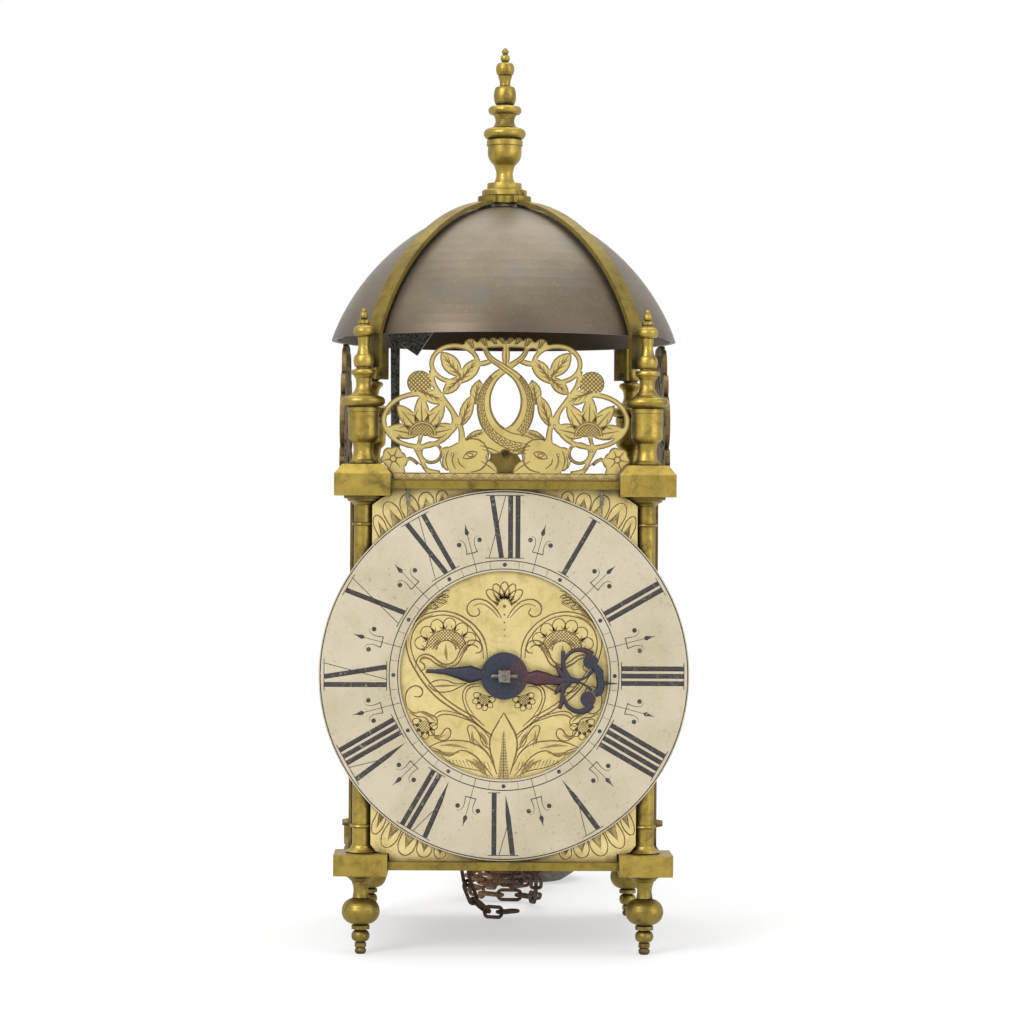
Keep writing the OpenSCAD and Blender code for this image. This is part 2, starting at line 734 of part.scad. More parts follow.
// Arbor with its collar and the squared end that carries the hand
module hand_arbor() {
  shoulder_y = hand_y + hand_t;
  color(iron) difference() {
    union() {
      rod(0, dial_z, shoulder_y, front_bar_y - 0.3, hand_arbor_r);
      rod(0, dial_z, front_bar_y - 0.4, front_bar_y + 2.8, hand_pivot_r);
      rod(0, dial_z, shoulder_y, dial_face_y - 1.9, 3.6);
      upright(shoulder_y, dial_z) linear_extrude(5.4) square(hand_square, center = true);
    }
    translate([-6, hand_y - 2.2, dial_z]) rotate([0, 90, 0]) cylinder(r = 0.8, h = 12, $fn = bore_n);
  }
}

module hand_pin() {
  color(iron) translate([-5.6, hand_y - 2.2, dial_z]) rotate([0, 90, 0])
    cylinder(r = 0.78, h = 11.2, $fn = bore_n);
}

module hour_wheel() {
  y = hour_wheel_y;
  color(brass) difference() {
    wheel(hour_teeth, hour_module, 90 + 180 / hour_teeth, 0, dial_z, y[0], y[1]);
    rod(0, dial_z, y[0] - 2, y[1] + 2, hand_arbor_r + fit);
  }
}

// Side doors, each a sheet with a rolled pivot edge at the back

module door(side) {
  z0 = plate_top + door_gap;
  z1 = deck_z - door_gap;
  thick = 1.2;
  color(old_brass) {
    translate([side * door_x - thick / 2, -48.2, z0]) cube([thick, door_pivot_y + 48.2, z1 - z0]);
    translate([side * door_x, door_pivot_y, z0]) cylinder(r = 1.4, h = z1 - z0, $fn = bore_n);
    translate([side * door_x, door_pivot_y, plate_z + 0.4])
      cylinder(r = door_pivot_r, h = deck_top - plate_z - 0.8, $fn = bore_n);
    translate([side * door_x, -45.4, 54.7]) rotate([0, side * 90, 0])
      cylinder(r1 = 1.9, r2 = 1.3, h = 3.4, $fn = bore_n);
  }
}

module door_knob(side) {
  color(brass) translate([side * (door_x + 0.6), -38, dial_z]) rotate([0, side * 90, 0])
    turned(concat([[2.6, 0], [2.6, 0.8], [1.2, 1.2]], belly([1.1, 1.4], [1.4, 3], -0.2, 3),
      bead(1.4, 3, 3.2, 7, 8), [[0.6, 7.2]]));
}

// Going train

module going_great_wheel() {
  color(brass) wheel(great_teeth, great_module, 90, 0, great_z, great_y[0], great_y[1]);
  color(iron) {
    rod(0, great_z, report_y[0] - 0.6, centre_bar_y - 0.3, arbor_r);
    rod(0, great_z, centre_bar_y - 0.4, centre_bar_y + shared_pivot, pivot_r);
    pinion(report_leaves, hour_module, 90, 0, great_z, report_y[0], report_y[1]);
  }
}

// Chain wheel: grooved core with short spikes between two flanges
module sprocket(y) {
  core = sprocket_r - 5;
  shoulder = sprocket_r - 2.2;
  flange = sprocket_r + 3.6;
  upright(y, great_z) difference() {
    translate([0, 0, -6.4]) union() {
      cylinder(r = core, h = 12.8, $fn = round_n);
      for (z = [0, 11.4]) translate([0, 0, z]) cylinder(r = flange, h = 1.4, $fn = round_n);
      for (z = [0, 8.2]) translate([0, 0, z]) cylinder(r = shoulder, h = 4.6, $fn = round_n);
      for (a = [30:60:330]) rotate(a) translate([core - 1, -0.7, 5.4]) cube([2.2, 1.4, 2]);
    }
    translate([0, 0, -8]) cylinder(r = arbor_r, h = 16, $fn = bore_n);
    for (a = [0:60:300]) rotate(a) translate([8.6, 0, -8]) cylinder(r = 2.4, h = 16, $fn = bore_n);
  }
}

module going_sprocket() {
  color(brass) sprocket(going_sprocket_y);
}

module second_wheel() {
  color(brass) wheel(second_teeth, second_module, 90, 0, second_z, second_y[0], second_y[1]);
  color(iron) {
    arbor(0, second_z, front_room);
    pinion(second_leaves, great_module, -90 + 180 / second_leaves, 0, second_z,
      great_y[0] - 2, great_y[1] + 2);
  }
}

// A band whose edge is cut into upright teeth; slot is the side view of one gap, cut through the wall
module crown_band(n, r, wall, h, depth, slot_at) {
  difference() {
    cylinder(r = r, h = h, $fn = round_n);
    translate([0, 0, -1]) cylinder(r = r - wall, h = h + 2, $fn = round_n);
    for (i = [0:n - 1]) rotate(slot_at + 360 * i / n) translate([r - wall - 1, 0, h - depth])
      rotate([90, 0, 90]) linear_extrude(wall + 2) children();
  }
}

module contrate_wheel() {
  h = contrate_tip_y - contrate_web_y;
  depth = 1.7;
  color(brass) {
    translate([0, contrate_web_y, contrate_z]) rotate([-90, 0, 0])
      crown_band(contrate_teeth, contrate_r + 0.9, 1.8, h, depth, -90 + 180 / contrate_teeth)
        polygon([[-contrate_pitch * 0.24, 0], [contrate_pitch * 0.24, 0], [contrate_pitch * 0.4, depth + 1],
          [-contrate_pitch * 0.4, depth + 1]]);
    upright(contrate_web_y + 1.4, contrate_z) linear_extrude(1.4) difference() {
      circle(r = contrate_r, $fn = round_n);
      difference() {
        circle(r = contrate_r - 2.6, $fn = round_n);
        circle(r = 3.6, $fn = bore_n);
        for (a = [45, 135]) rotate(a) square([2 * contrate_r, 2.2], center = true);
      }
    }
    rod(0, contrate_z, contrate_web_y, contrate_web_y + 3, 3);
  }
  color(iron) {
    arbor(0, contrate_z, front_room);
    pinion(contrate_leaves, second_module, -90 + 180 / contrate_leaves, 0, contrate_z,
      second_y[0] - 2, second_y[1] + 2);
  }
}

module crown_wheel() {
  h = crown_tip_z - crown_base_z;
  depth = 3.4;
  pitch = 2 * PI * crown_r / crown_teeth;
  color(brass) translate([0, crown_y, crown_base_z]) {
    crown_band(crown_teeth, crown_r, 1.5, h, depth, 0)
      polygon([[-pitch * 0.42, depth + 1.4], [-pitch * 0.34, 0], [-pitch * 0.1, 0],
        [pitch * 0.46, depth + 0.4],
        [pitch * 0.46, depth + 1.4]]);
    linear_extrude(1.4) difference() {
      circle(r = crown_r - 0.6, $fn = round_n);
      difference() {
        circle(r = crown_r - 2.6, $fn = round_n);
        circle(r = 3.4, $fn = bore_n);
        for (a = [0, 60, 120]) rotate(a) square([2 * crown_r, 1.8], center = true);
      }
    }
    cylinder(r = 3, h = 3.4, $fn = bore_n);
  }
  color(iron) translate([0, crown_y, 0]) {
    translate([0, 0, potence_z + potence_t + 0.3])
      cylinder(r = arbor_r, h = crown_base_z + 7.4 - potence_z - potence_t, $fn = bore_n);
    translate([0, 0, potence_z + 0.4]) cylinder(r = pivot_r, h = potence_t + 1, $fn = bore_n);
    translate([0, 0, crown_pinion_z - 3]) linear_extrude(6)
      polygon(leaf_outline(crown_leaves, contrate_module, -90 + 180 / crown_leaves));
  }
}

module potence() {
  color(brass) difference() {
    union() {
      translate([-4, crown_y - 3, potence_z]) cube([8, centre_bar_y - crown_y + 3, potence_t]);
      translate([-5, centre_bar_y - 2.6, potence_z]) cube([10, 2.6, 14]);
    }
    translate([0, crown_y, potence_z - 1]) cylinder(r = pivot_r + fit, h = potence_t + 2, $fn = bore_n);
  }
}

// A bridge on the top plate that carries one end of the verge
module cock(y, foot_to) {
  tall = verge_z + 3.4 - deck_top;
  color(brass) {
    upright(y + cock_t, deck_top) linear_extrude(cock_t) difference() {
      union() {
        translate([-cock_w / 2, 0]) square([cock_w, 7]);
        polygon([[-cock_w / 2, 7], [cock_w / 2, 7], [5, tall - 3], [5, tall], [-5, tall], [-5, tall - 3]]);
      }
      translate([0, verge_z - deck_top]) circle(r = verge_r + fit, $fn = bore_n);
      translate([-3.4, -1]) square([6.8, 5]);
    }
    for (x = [-cock_w / 2, 4]) translate([x, min(y, y + foot_to), deck_top])
      cube([cock_w / 2 - 4, abs(foot_to) + cock_t, 1.6]);
  }
}

module front_cock() {
  cock(front_cock_y, 4);
}

module back_cock() {
  cock(back_cock_y, -5);
}

module verge() {
  color(iron) {
    rod(0, verge_z, front_cock_y - 0.6, pendulum_y + 1.2, verge_r);
    for (s = [-1, 1]) translate([0, crown_y + s * (crown_r - 0.75) + 1.6, verge_z]) rotate([90, 0, 0])
      rotate(-90 + s * pallet_angle) linear_extrude(3.2)
        polygon([[0, -0.5], [pallet_l, -0.3], [pallet_l, 0.3], [0, 0.5]]);
  }
}

module pendulum_rod() {
  rod_end = bob_z - bob_r - 9;
  color(iron) {
    difference() {
      rod(0, verge_z, pendulum_y - 2.2, pendulum_y + 1.6, 3.4);
      rod(0, verge_z, pendulum_y - 3, pendulum_y + 1.2, verge_r);
    }
    translate([0, pendulum_y, rod_end]) cylinder(r = rod_r, h = verge_z - 2.6 - rod_end, $fn = bore_n);
  }
}

// Lens-shaped bob that slides on the rod, with its rating nut
module pendulum_bob() {
  color(brass) translate([0, pendulum_y, 0]) difference() {
    union() {
      translate([0, 0, bob_z]) rotate([90, 0, 0]) rotate_extrude($fn = round_n)
        polygon(concat([[0, -bob_t / 2]], belly([2, -bob_t / 2], [bob_r, -0.8], 1.6, 6),
          belly([bob_r, 0.8], [2, bob_t / 2], 1.6, 6), [[0, bob_t / 2]]));
      translate([0, 0, bob_z - bob_r - 4.4]) cylinder(r = 4, h = 2.6, $fn = bore_n);
      translate([0, 0, bob_z - bob_r - 2]) cylinder(r = 2, h = 4, $fn = bore_n);
    }
    translate([0, 0, bob_z - 3 * bob_r]) cylinder(r = rod_r + fit, h = 6 * bob_r, $fn = bore_n);
  }
}

// Striking train

module strike_great_wheel() {
  color(brass) wheel(strike_teeth, strike_module, 90, 0, great_z, strike_y[0], strike_y[1]);
  color(iron) {
    for (i = [0:hammer_pins - 1]) let (a = 360 * (i + 0.5) / hammer_pins)
      rod(pin_circle_r * sin(a), great_z + pin_circle_r * cos(a), strike_y[1] - 0.4, strike_y[1] + 4.4, 1);
    rod(0, great_z, back_room[0] + 0.3, count_wheel_y + 2.4, arbor_r);
    rod(0, great_z, back_room[0] - shared_pivot, back_room[0] + 0.5, pivot_r);
    pinion(count_leaves, count_module, 90, 0, great_z, count_wheel_y - 0.4, count_wheel_y + 2);
  }
}

module strike_sprocket() {
  color(brass) sprocket(strike_sprocket_y);
}

module hoop_wheel() {
  color(brass) {
    wheel(hoop_teeth, strike_module, 90, 0, hoop_z, hoop_y[0], hoop_y[1]);
    upright(hoop_y[1] + 3, hoop_z) rotate_extrude(angle = 320, $fn = round_n)
      translate([19.6, 0]) square([1.4, 3]);
  }
  color(iron) {
    arbor(0, hoop_z, back_room);
    pinion(hoop_leaves, strike_module, -90 + 180 / hoop_leaves, 0, hoop_z,
      strike_y[0] - 1.6, strike_y[1] + 1.6);
  }
}

module warning_wheel() {
  color(brass) wheel(warning_teeth, warning_module, 90, 0, warning_z, warning_y[0], warning_y[1]);
  color(iron) {
    arbor(0, warning_z, back_room);
    pinion(warning_leaves, strike_module, -90 + 180 / warning_leaves, 0, warning_z,
      hoop_y[0] - 1.8, hoop_y[1] + 1.8);
    rod(0, warning_z + 14, warning_y[1] - 0.4, warning_y[1] + 2.6, 0.8);
  }
}

module fly() {
  fly_r = 16.5;
  color(iron) {
    arbor(0, fly_z, back_room);
    pinion(fly_leaves, warning_module, -90 + 180 / fly_leaves, 0, fly_z,
      warning_y[0] - 0.9, warning_y[1] + 2);
  }
  color(brass) {
    translate([-fly_r, 20, fly_z - 0.4]) cube([2 * fly_r, 24, 0.8]);
    rod(0, fly_z, 20, 44, 2.2);
  }
}

module count_wheel() {
  color(brass) difference() {
    union() {
      upright(count_wheel_y + 1.4, count_z) linear_extrude(1.4)
        wheel_sheet(count_teeth, count_module, -90 + 180 / count_teeth);
      upright(count_wheel_y + 3, count_z) linear_extrude(1.7) difference() {
        circle(r = count_rim, $fn = round_n);
        circle(r = count_rim - 4, $fn = round_n);
        // A notch after every stroke count from one to twelve
        for (hour = [1:12]) rotate(360 * hour * (hour + 1) / 2 / 78)
          translate([count_rim - 2, -0.9]) square([4, 1.8]);
      }
      rod(0, count_z, count_wheel_y, count_wheel_y + 4.6, 4.4);
    }
    rod(0, count_z, count_wheel_y - 1, count_wheel_y + 6, count_stud_r + fit);
  }
}

module locking_detent() {
  count_arm_y = count_wheel_y + 3.4;
  color(iron) {
    rod(detent_x, detent_z, back_room[0] - shared_pivot, back_room[0] + 0.4, pivot_r);
    rod(detent_x, detent_z, back_room[0] + 0.3, count_arm_y + 2, arbor_r);
    upright(hoop_y[1] + 2.6, detent_z, detent_x) linear_extrude(2)
      band([[0, 0, 2.4], [-10, -3, 1.4], [-20, -9, 1.2], [-23.4, -11, 1.1]]);
    upright(count_arm_y + 2, detent_z, detent_x) linear_extrude(2)
      band([[0, 0, 2.4], [-12, -1.5, 1.4], [-24, -8, 1.2], [-28.2, -13.4, 1]]);
    upright(34, detent_z, detent_x) linear_extrude(2) band([[0, 0, 2.2], [6, -9, 1.4], [8, -20, 1.1]]);
  }
}

// Hammer: an arbor on the left with its tail, stem and a heavy head inside the bell
module hammer() {
  color(iron) {
    arbor(hammer_x, hammer_z, back_room);
    upright(hammer_tail_y, hammer_z, hammer_x) linear_extrude(2.6)
      band([[0, 0, 3], [6, -6, 1.8], [14, -11.6, 1.2]]);
    upright(hammer_y + 2, hammer_z, hammer_x) linear_extrude(4)
      band([[0, 0, 3], [-0.4, 20, 2.2], [-1, 80, 2.1], [-1.5, 130, 2], [-1.7, 162, 2.2]]);
    translate([-39.4, hammer_y, 262.4]) rotate([0, -56, 0]) hull() {
      translate([0, -4.5, 0]) cube([15.6, 9, 16.4]);
      translate([1.4, -3.2, 16]) cube([12.8, 6.4, 2.5]);
    }
  }
}

module hammer_spring() {
  color(iron) upright(hammer_y + 1.6, plate_top, hammer_x) linear_extrude(3.2)
    polygon([[-12, 0], [-4, 0], [-4, 2.4], [-6.4, 3.4], [-5, 106], [-4.2, 110],
      [-5, 110.4], [-6, 106], [-8.4, 3],
      [-12, 2.2]]);
}

// Chain of open iron links and the weight at its end

link_w = 6.4;
link_wire = 1.7;
link_gap = 0.45;
link_l = link_pitch + 2 * link_wire + link_gap;
link_reach = link_l - link_wire;

module link() {
  bend = (link_w - link_wire) / 2;
  straight = link_l / 2 - link_w / 2;
  for (s = [-1, 1]) {
    translate([s * straight, 0, 0]) rotate(s * 90 - 90) rotate([0, 0, -90])
      rotate_extrude(angle = 180, $fn = 20) translate([bend, 0]) circle(d = link_wire, $fn = 16);
    translate([-straight, s * bend, 0]) rotate([0, 90, 0])
      cylinder(d = link_wire, h = 2 * straight, $fn = 16);
  }
}

module weight() {
  top = weight_h;
  color(lead_grey) translate([weight_at.x, weight_at.y, 0]) turned(concat(
    [[17, 0]], belly([17, 0], [weight_r, 13], 3.4, 8), [[weight_r, top - 5]],
    belly([weight_r, top - 4], [weight_r - 5, top], 1, 5)));
  color(iron) translate([weight_at.x, weight_at.y, top]) {
    translate([0, 0, -0.1]) cylinder(r = 2.2, h = 4.6, $fn = bore_n);
    translate([0, 0, 9]) rotate([90, 0, 0]) rotate_extrude($fn = round_n)
      translate([4.6, 0]) circle(r = 1.3, $fn = 24);
  }
}

// Route of the chain: from the weight's ring over its left side to the floor, up one pile and down
// another, up the right strand, over the strike sprocket and down the left strand to the floor
pile_r = 13;
pile_turns = 5;
pile_rise = link_w + 0.7;
pile_back = [8, 154];
pile_front = [-0.5, 122];
floor_z = 3.3;
pile_top = floor_z + pile_turns * pile_rise;

function pile(c, turns, z0, z1) = let (n = turns * 24)
  [for (i = [0:n]) let (a = 180 + 360 * turns * i / n)
    [c.x + pile_r * cos(a), c.y + pile_r * sin(a), z0 + (z1 - z0) * i / n]];

from_weight = [[15.9, 200, weight_h + 9], [10, 200, weight_h + 8.8], [4.4, 199.9, weight_h + 8],
  [-2, 199.2, weight_h + 6.4], [-9, 197.6, weight_h + 4], [-13.8, 196, weight_h - 3.4],
  [-15.8, 194.6, weight_h - 15], [-16, 193.6, 88], [-15.7, 192.9, 66], [-15.5, 191.3, 46], [-15.2, 188.6, 32.6],
  [-14.5, 184.2, 22.8], [-13.3, 178.2, 14.8], [-11.2, 170.8, 8.8], [-8.3, 163, 5]];
between_piles = [[-7.4, 144, pile_top + 0.6], [-12, 133, pile_top + 0.6]];
to_sprocket = [[7, 109.4, floor_z], [13.6, 106.6, floor_z], [17.4, 98.6, floor_z], [18.1, 90, 4.6],
  [18.2, 81.5, 8], [18.1, 72.5, 13], [18, 63, 19], [17.9, 53.5, 25.6], [17.8, 45, 33], [17.7, 38, 41.5],
  [17.6, 33, 51], [17.6, 30.5, 61], [17.6, 30, 72]];
from_sprocket = [[-17.6, 30, 72], [-17.6, 30, 58], [-17.5, 30.2, 44], [-17, 30.6, 33], [-15.8, 31.4, 22.6],
  [-13.4, 33, 14], [-9.8, 35.6, 7.6], [-5, 39.6, 4.4], [1, 45.4, 3.4], [7, 50.8, floor_z],
  [12.4, 55.6, floor_z], [17.4, 61, floor_z]];
over_sprocket = [for (q = arc([0, great_z], sprocket_r, 0, 180, 12)) [q.x, strike_sprocket_y, q.y]];

chain_path = smooth(concat(
  smooth(from_weight, 4), pile(pile_back, pile_turns, floor_z, pile_top), between_piles,
  pile(pile_front, pile_turns + 0.25, pile_top, floor_z), smooth(to_sprocket, 4), over_sprocket,
  smooth(from_sprocket, 4)), 3);

// Distance along the route at each of its points
path_at = [for (i = 0, s = 0; i < len(chain_path);
  s = s + (i < len(chain_path) - 1 ? norm(chain_path[i + 1] - chain_path[i]) : 0), i = i + 1) s];
chain_l = path_at[len(path_at) - 1];
link_count = floor(chain_l / link_pitch) - 1;

// Links hang in each other's ends, so every other link spans its whole wire and the rest the remainder
function joint_place(k) = floor(k / 2) * 2 * link_pitch + (k % 2) * link_reach;
function joints(i = 0, k = 0, found = []) = k > link_count ? found :
  let (s = joint_place(k), d = path_at[i + 1] - path_at[i])
  i >= len(chain_path) - 2 || path_at[i + 1] >= s
    ? joints(i, k + 1, concat(found, [chain_path[i] + (chain_path[i + 1] - chain_path[i]) *
        (s - path_at[i]) / d]))
    : joints(i + 1, k, found);
joint = joints();

// A link lies or stands square to the bend of the route: level on the floor, fore and aft where it hangs,
// and slowly turned on its way down the left strand
left_strand = link_count - 13;
function lying(c, i) = i >= left_strand ? 0 : c.y > 95 && c.y < 176 ? 1 : min(1, max(0, (45 - c.z) / 35));
function strand_turn(c, i) = i >= left_strand ? 42 * min(1, max(0, (72 - c.z) / 50)) : 0;

// Axes and middle of link i, as the rows of a matrix
function link_place(i) = let (
  c = (joint[i] + joint[i + 1]) / 2,
  t = (joint[i + 1] - joint[i]) / norm(joint[i + 1] - joint[i]),
  f = lying(c, i),
  h = (c.y > 176 ? -1 : 1) * (1 - f),
  k = [-h * sin(strand_turn(c, i)), h * cos(strand_turn(c, i)), f],
  u = (k - (k * t) * t) / norm(k - (k * t) * t),
  w = i % 2 == 0 ? u : cross(t, u),
  v = cross(t, w)) [[t.x, w.x, v.x, c.x], [t.y, w.y, v.y, c.y], [t.z, w.z, v.z, c.z]];

module chain() {
  color(rust) for (i = [0:link_count - 1]) multmatrix(link_place(i)) link();
}

pillar(-1, -1);  // pillar_front_left
pillar(1, -1);  // pillar_front_right
pillar(-1, 1);  // pillar_back_left
pillar(1, 1);  // pillar_back_right
foot(-1, -1);  // foot_front_left
foot(1, -1);  // foot_front_right
foot(-1, 1);  // foot_back_left
foot(1, 1);  // foot_back_right
finial(-1, -1);  // finial_front_left
finial(1, -1);  // finial_front_right
finial(-1, 1);  // finial_back_left
finial(1, 1);  // finial_back_right
top_plate();
bottom_plate();
back_plate();
front_bar();
centre_bar();
back_bar();
bell();
bell_frame();
bell_frame_pins();
bell_washer_and_nut();
top_finial();
fret(0, front_fret_face);  // fret_front
fret(-90, side_fret_face);  // fret_left
fret(90, side_fret_face);  // fret_right
fret_screws();
dial_plate();
chapter_ring();
dial_pins();
hand_arbor();
hour_hand();
hand_pin();
hour_wheel();
door(-1);  // door_left
door(1);  // door_right
door_knob(-1);  // door_left_knob
door_knob(1);  // door_right_knob
going_great_wheel();
going_sprocket();
second_wheel();
contrate_wheel();
crown_wheel();
potence();
front_cock();
back_cock();
verge();
pendulum_rod();
pendulum_bob();
strike_great_wheel();
strike_sprocket();
hoop_wheel();
warning_wheel();
fly();
count_wheel();
locking_detent();
hammer();
hammer_spring();
chain();
weight();
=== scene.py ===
# Lantern clock: finishes, engraving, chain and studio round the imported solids. Lengths are in metres.
import math

import bmesh
import bpy
from mathutils import Matrix, Vector


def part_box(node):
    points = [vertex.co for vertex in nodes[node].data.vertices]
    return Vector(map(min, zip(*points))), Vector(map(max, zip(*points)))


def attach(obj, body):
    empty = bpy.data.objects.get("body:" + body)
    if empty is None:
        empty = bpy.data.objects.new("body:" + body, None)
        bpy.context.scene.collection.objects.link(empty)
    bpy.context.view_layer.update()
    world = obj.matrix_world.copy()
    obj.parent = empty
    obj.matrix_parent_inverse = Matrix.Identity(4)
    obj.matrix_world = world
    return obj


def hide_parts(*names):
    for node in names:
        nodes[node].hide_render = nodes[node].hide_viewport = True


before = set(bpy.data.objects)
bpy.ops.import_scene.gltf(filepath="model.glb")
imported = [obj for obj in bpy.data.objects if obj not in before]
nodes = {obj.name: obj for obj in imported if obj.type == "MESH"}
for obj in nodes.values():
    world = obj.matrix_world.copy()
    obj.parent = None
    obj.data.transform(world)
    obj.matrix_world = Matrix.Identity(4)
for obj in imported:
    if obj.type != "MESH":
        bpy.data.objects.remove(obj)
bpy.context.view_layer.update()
mm = 0.001
print("loaded", len(nodes), "nodes")

# Camera: level, a little left of the dial, with the photograph's perspective and slight roll

camera = {"place": (-0.021, -1.324, 0.19), "heading": -0.956, "roll": -0.33, "lens": 103.26, "shiftX": 0.0068}


def placeCamera():
    data = bpy.data.cameras.new("camera")
    data.lens = camera["lens"]
    data.shift_x = camera["shiftX"]
    data.clip_start = 0.05
    data.clip_end = 20
    seat = bpy.data.objects.new("camera", data)
    seat.location = camera["place"]
    seat.rotation_euler = (math.radians(90), math.radians(camera["roll"]), math.radians(camera["heading"]))
    bpy.context.scene.collection.objects.link(seat)
    bpy.context.scene.camera = seat


placeCamera()


# Shader maths

class Wire:  # an output socket that can stand in a sum
    def __init__(self, paint, socket):
        self.paint = paint
        self.socket = socket

    def maths(self, operation, first, second=0.0):
        return self.paint.node("Math", {"operation": operation}, {0: first, 1: second})

    def __add__(self, other):
        return self.maths("ADD", self, other)

    def __radd__(self, other):
        return self.maths("ADD", other, self)

    def __sub__(self, other):
        return self.maths("SUBTRACT", self, other)

    def __rsub__(self, other):
        return self.maths("SUBTRACT", other, self)

    def __mul__(self, other):
        return self.maths("MULTIPLY", self, other)

    def __rmul__(self, other):
        return self.maths("MULTIPLY", other, self)

    def __truediv__(self, other):
        return self.maths("DIVIDE", self, other)

    def __pow__(self, other):
        return self.maths("POWER", self, other)

    def __abs__(self):
        return self.maths("ABSOLUTE", self)

    def clamp(self):
        return self.paint.node("Clamp", {}, {"Value": self})


class Paint:  # one material and the nodes in it
    def __init__(self, name):
        self.material = bpy.data.materials.new(name)
        self.material.use_nodes = True
        self.tree = self.material.node_tree
        self.shader = self.tree.nodes["Principled BSDF"]
        self.place = self.node("TexCoord", {}, {}, "Object")

    def node(self, kind, settings, values, output=0):
        made = self.tree.nodes.new("ShaderNode" + kind)
        for name, value in settings.items():
            if name == "stops":
                ramp = made.color_ramp
                while len(ramp.elements) < len(value):
                    ramp.elements.new(0.5)
                for element, (position, colour) in zip(ramp.elements, value):
                    element.position = position
                    element.color = (*colour, 1)
            else:
                setattr(made, name, value)
        for key, value in values.items():
            if isinstance(value, Wire):
                self.tree.links.new(value.socket, made.inputs[key])
            else:
                made.inputs[key].default_value = value
        return Wire(self, made.outputs[output])

    def noise(self, size, detail=4, roughness=0.5, stretch=(1, 1, 1), distortion=0.0):
        place = self.node("Mapping", {}, {"Vector": self.place, "Scale": stretch})
        return self.node("TexNoise", {}, {"Vector": place, "Scale": 1 / size, "Detail": detail,
                                          "Roughness": roughness, "Distortion": distortion}, "Fac")

    def ramp(self, value, *stops):
        return self.node("ValToRGB", {"stops": [(at, (level,) * 3) for at, level in stops]}, {"Fac": value})

    def mix(self, low, high, amount):
        low, high = [c if isinstance(c, Wire) else (*c, 1) for c in (low, high)]
        return self.node("Mix", {"data_type": "RGBA"}, {0: amount, 6: low, 7: high}, 2)

    # painted shade: high where nearby faces close in, from ambient occlusion
    def creviceShade(self, reach):
        return 1 - self.node("AmbientOcclusion", {"samples": 6}, {"Distance": reach}, "AO")

    def rim(self, reach):  # the faces next to an edge, as a mask for painted shade
        return 1 - self.node("AmbientOcclusion", {"samples": 8, "inside": True}, {"Distance": reach}, "AO")

    def axis(self, letter):
        return self.node("SeparateXYZ", {}, {"Vector": self.place}, letter)

    def bump(self, height, depth, strength=1.0, under=None):
        values = {"Height": height, "Distance": depth, "Strength": strength}
        if under:
            values["Normal"] = under
        return self.node("Bump", {}, values, "Normal")

    def finish(self, colour, roughness, metallic=None, normal=None, **fixed):
        sockets = {"Base Color": colour, "Roughness": roughness, "Metallic": metallic, "Normal": normal}
        for key, value in sockets.items():
            if isinstance(value, Wire):
                self.tree.links.new(value.socket, self.shader.inputs[key])
            elif value is not None:
                self.shader.inputs[key].default_value = value
        for key, value in fixed.items():
            self.shader.inputs[key].default_value = value
        return self.material


# Brass tones: bright and worn, and a dark one for grime and for painted shade in crevices and along edges
brassTones = {
    "turned": {"bright": (0.42, 0.307, 0.07), "worn": (0.21, 0.152, 0.032), "grimeAndShade": (0.05, 0.034, 0.012)},
    "foot": {"bright": (0.32, 0.242, 0.055), "worn": (0.15, 0.11, 0.028), "grimeAndShade": (0.04, 0.028, 0.012)},
    "plate": {"bright": (0.29, 0.216, 0.044), "worn": (0.155, 0.112, 0.026), "grimeAndShade": (0.05, 0.034, 0.012)},
    "fret": {"bright": (0.64, 0.51, 0.19), "worn": (0.5, 0.39, 0.14), "grimeAndShade": (0.12, 0.07, 0.02)},
    "dial": {"bright": (0.74, 0.61, 0.28), "worn": (0.6, 0.475, 0.19), "grimeAndShade": (0.13, 0.085, 0.03)},
    "wheel": {"bright": (0.5, 0.37, 0.12), "worn": (0.34, 0.24, 0.07), "grimeAndShade": (0.06, 0.04, 0.014)},
    "dull": {"bright": (0.26, 0.185, 0.07), "worn": (0.15, 0.1, 0.04), "grimeAndShade": (0.04, 0.026, 0.012)},
}


def brass(name, tones, gloss, stains, turned=False, outline=0.0, relief=0.0):
    # gloss, stains and relief run from 0 to 1; outline paints shade on the faces next to pierced edges
    tones = brassTones[tones]
    paint = Paint(name)
    clouds = paint.noise(24 * mm, 5, 0.6)
    blotches = paint.noise(7 * mm, 6, 0.66, distortion=0.6)
    specks = paint.noise(1.5 * mm, 6, 0.7)
    # painted shade in crevices and between parts, joined with real stains from specks and blotches in one
    # mask
    hollow = paint.ramp(paint.creviceShade(6 * mm), (0.12, 0), (0.62, 1))
    worn = paint.ramp(clouds, (0.38, 0), (0.64, 1)) * 0.55 + paint.ramp(blotches, (0.45, 0), (0.62, 1)) * 0.45
    stainsAndShade = (hollow * 0.9 + paint.ramp(specks, (0.58, 0), (0.7, 0.55)) * stains
            + paint.ramp(blotches, (0.55, 0), (0.68, 0.75)) * stains).clamp()
    colour = paint.mix(tones["bright"], tones["worn"], worn)
    colour = paint.mix(colour, tones["grimeAndShade"], stainsAndShade)
    if outline:
        # painted shade on the faces next to pierced edges, in the dark tone
        edge = paint.ramp(paint.rim(outline * mm), (0.12, 0), (0.4, 0.95))
        colour = paint.mix(colour, tones["grimeAndShade"], edge)
    roughness = 0.5 - 0.26 * gloss + specks * 0.14 + stainsAndShade * 0.22
    grain = (0.04, 0.04, 1) if turned else (1, 0.3, 0.05)
    lathe = paint.noise(0.6 * mm, 2, 0.5, grain)
    dents = paint.noise(4 * mm, 4, 0.6)
    under = paint.bump(specks, 0.12 * mm, 0.4 * stains)
    normal = paint.bump(lathe, 0.05 * mm, 0.3, paint.bump(dents, 0.4 * mm, 0.4 + 0.5 * relief, under))
    return paint.finish(colour, roughness, 1 - stainsAndShade * 0.5, normal)


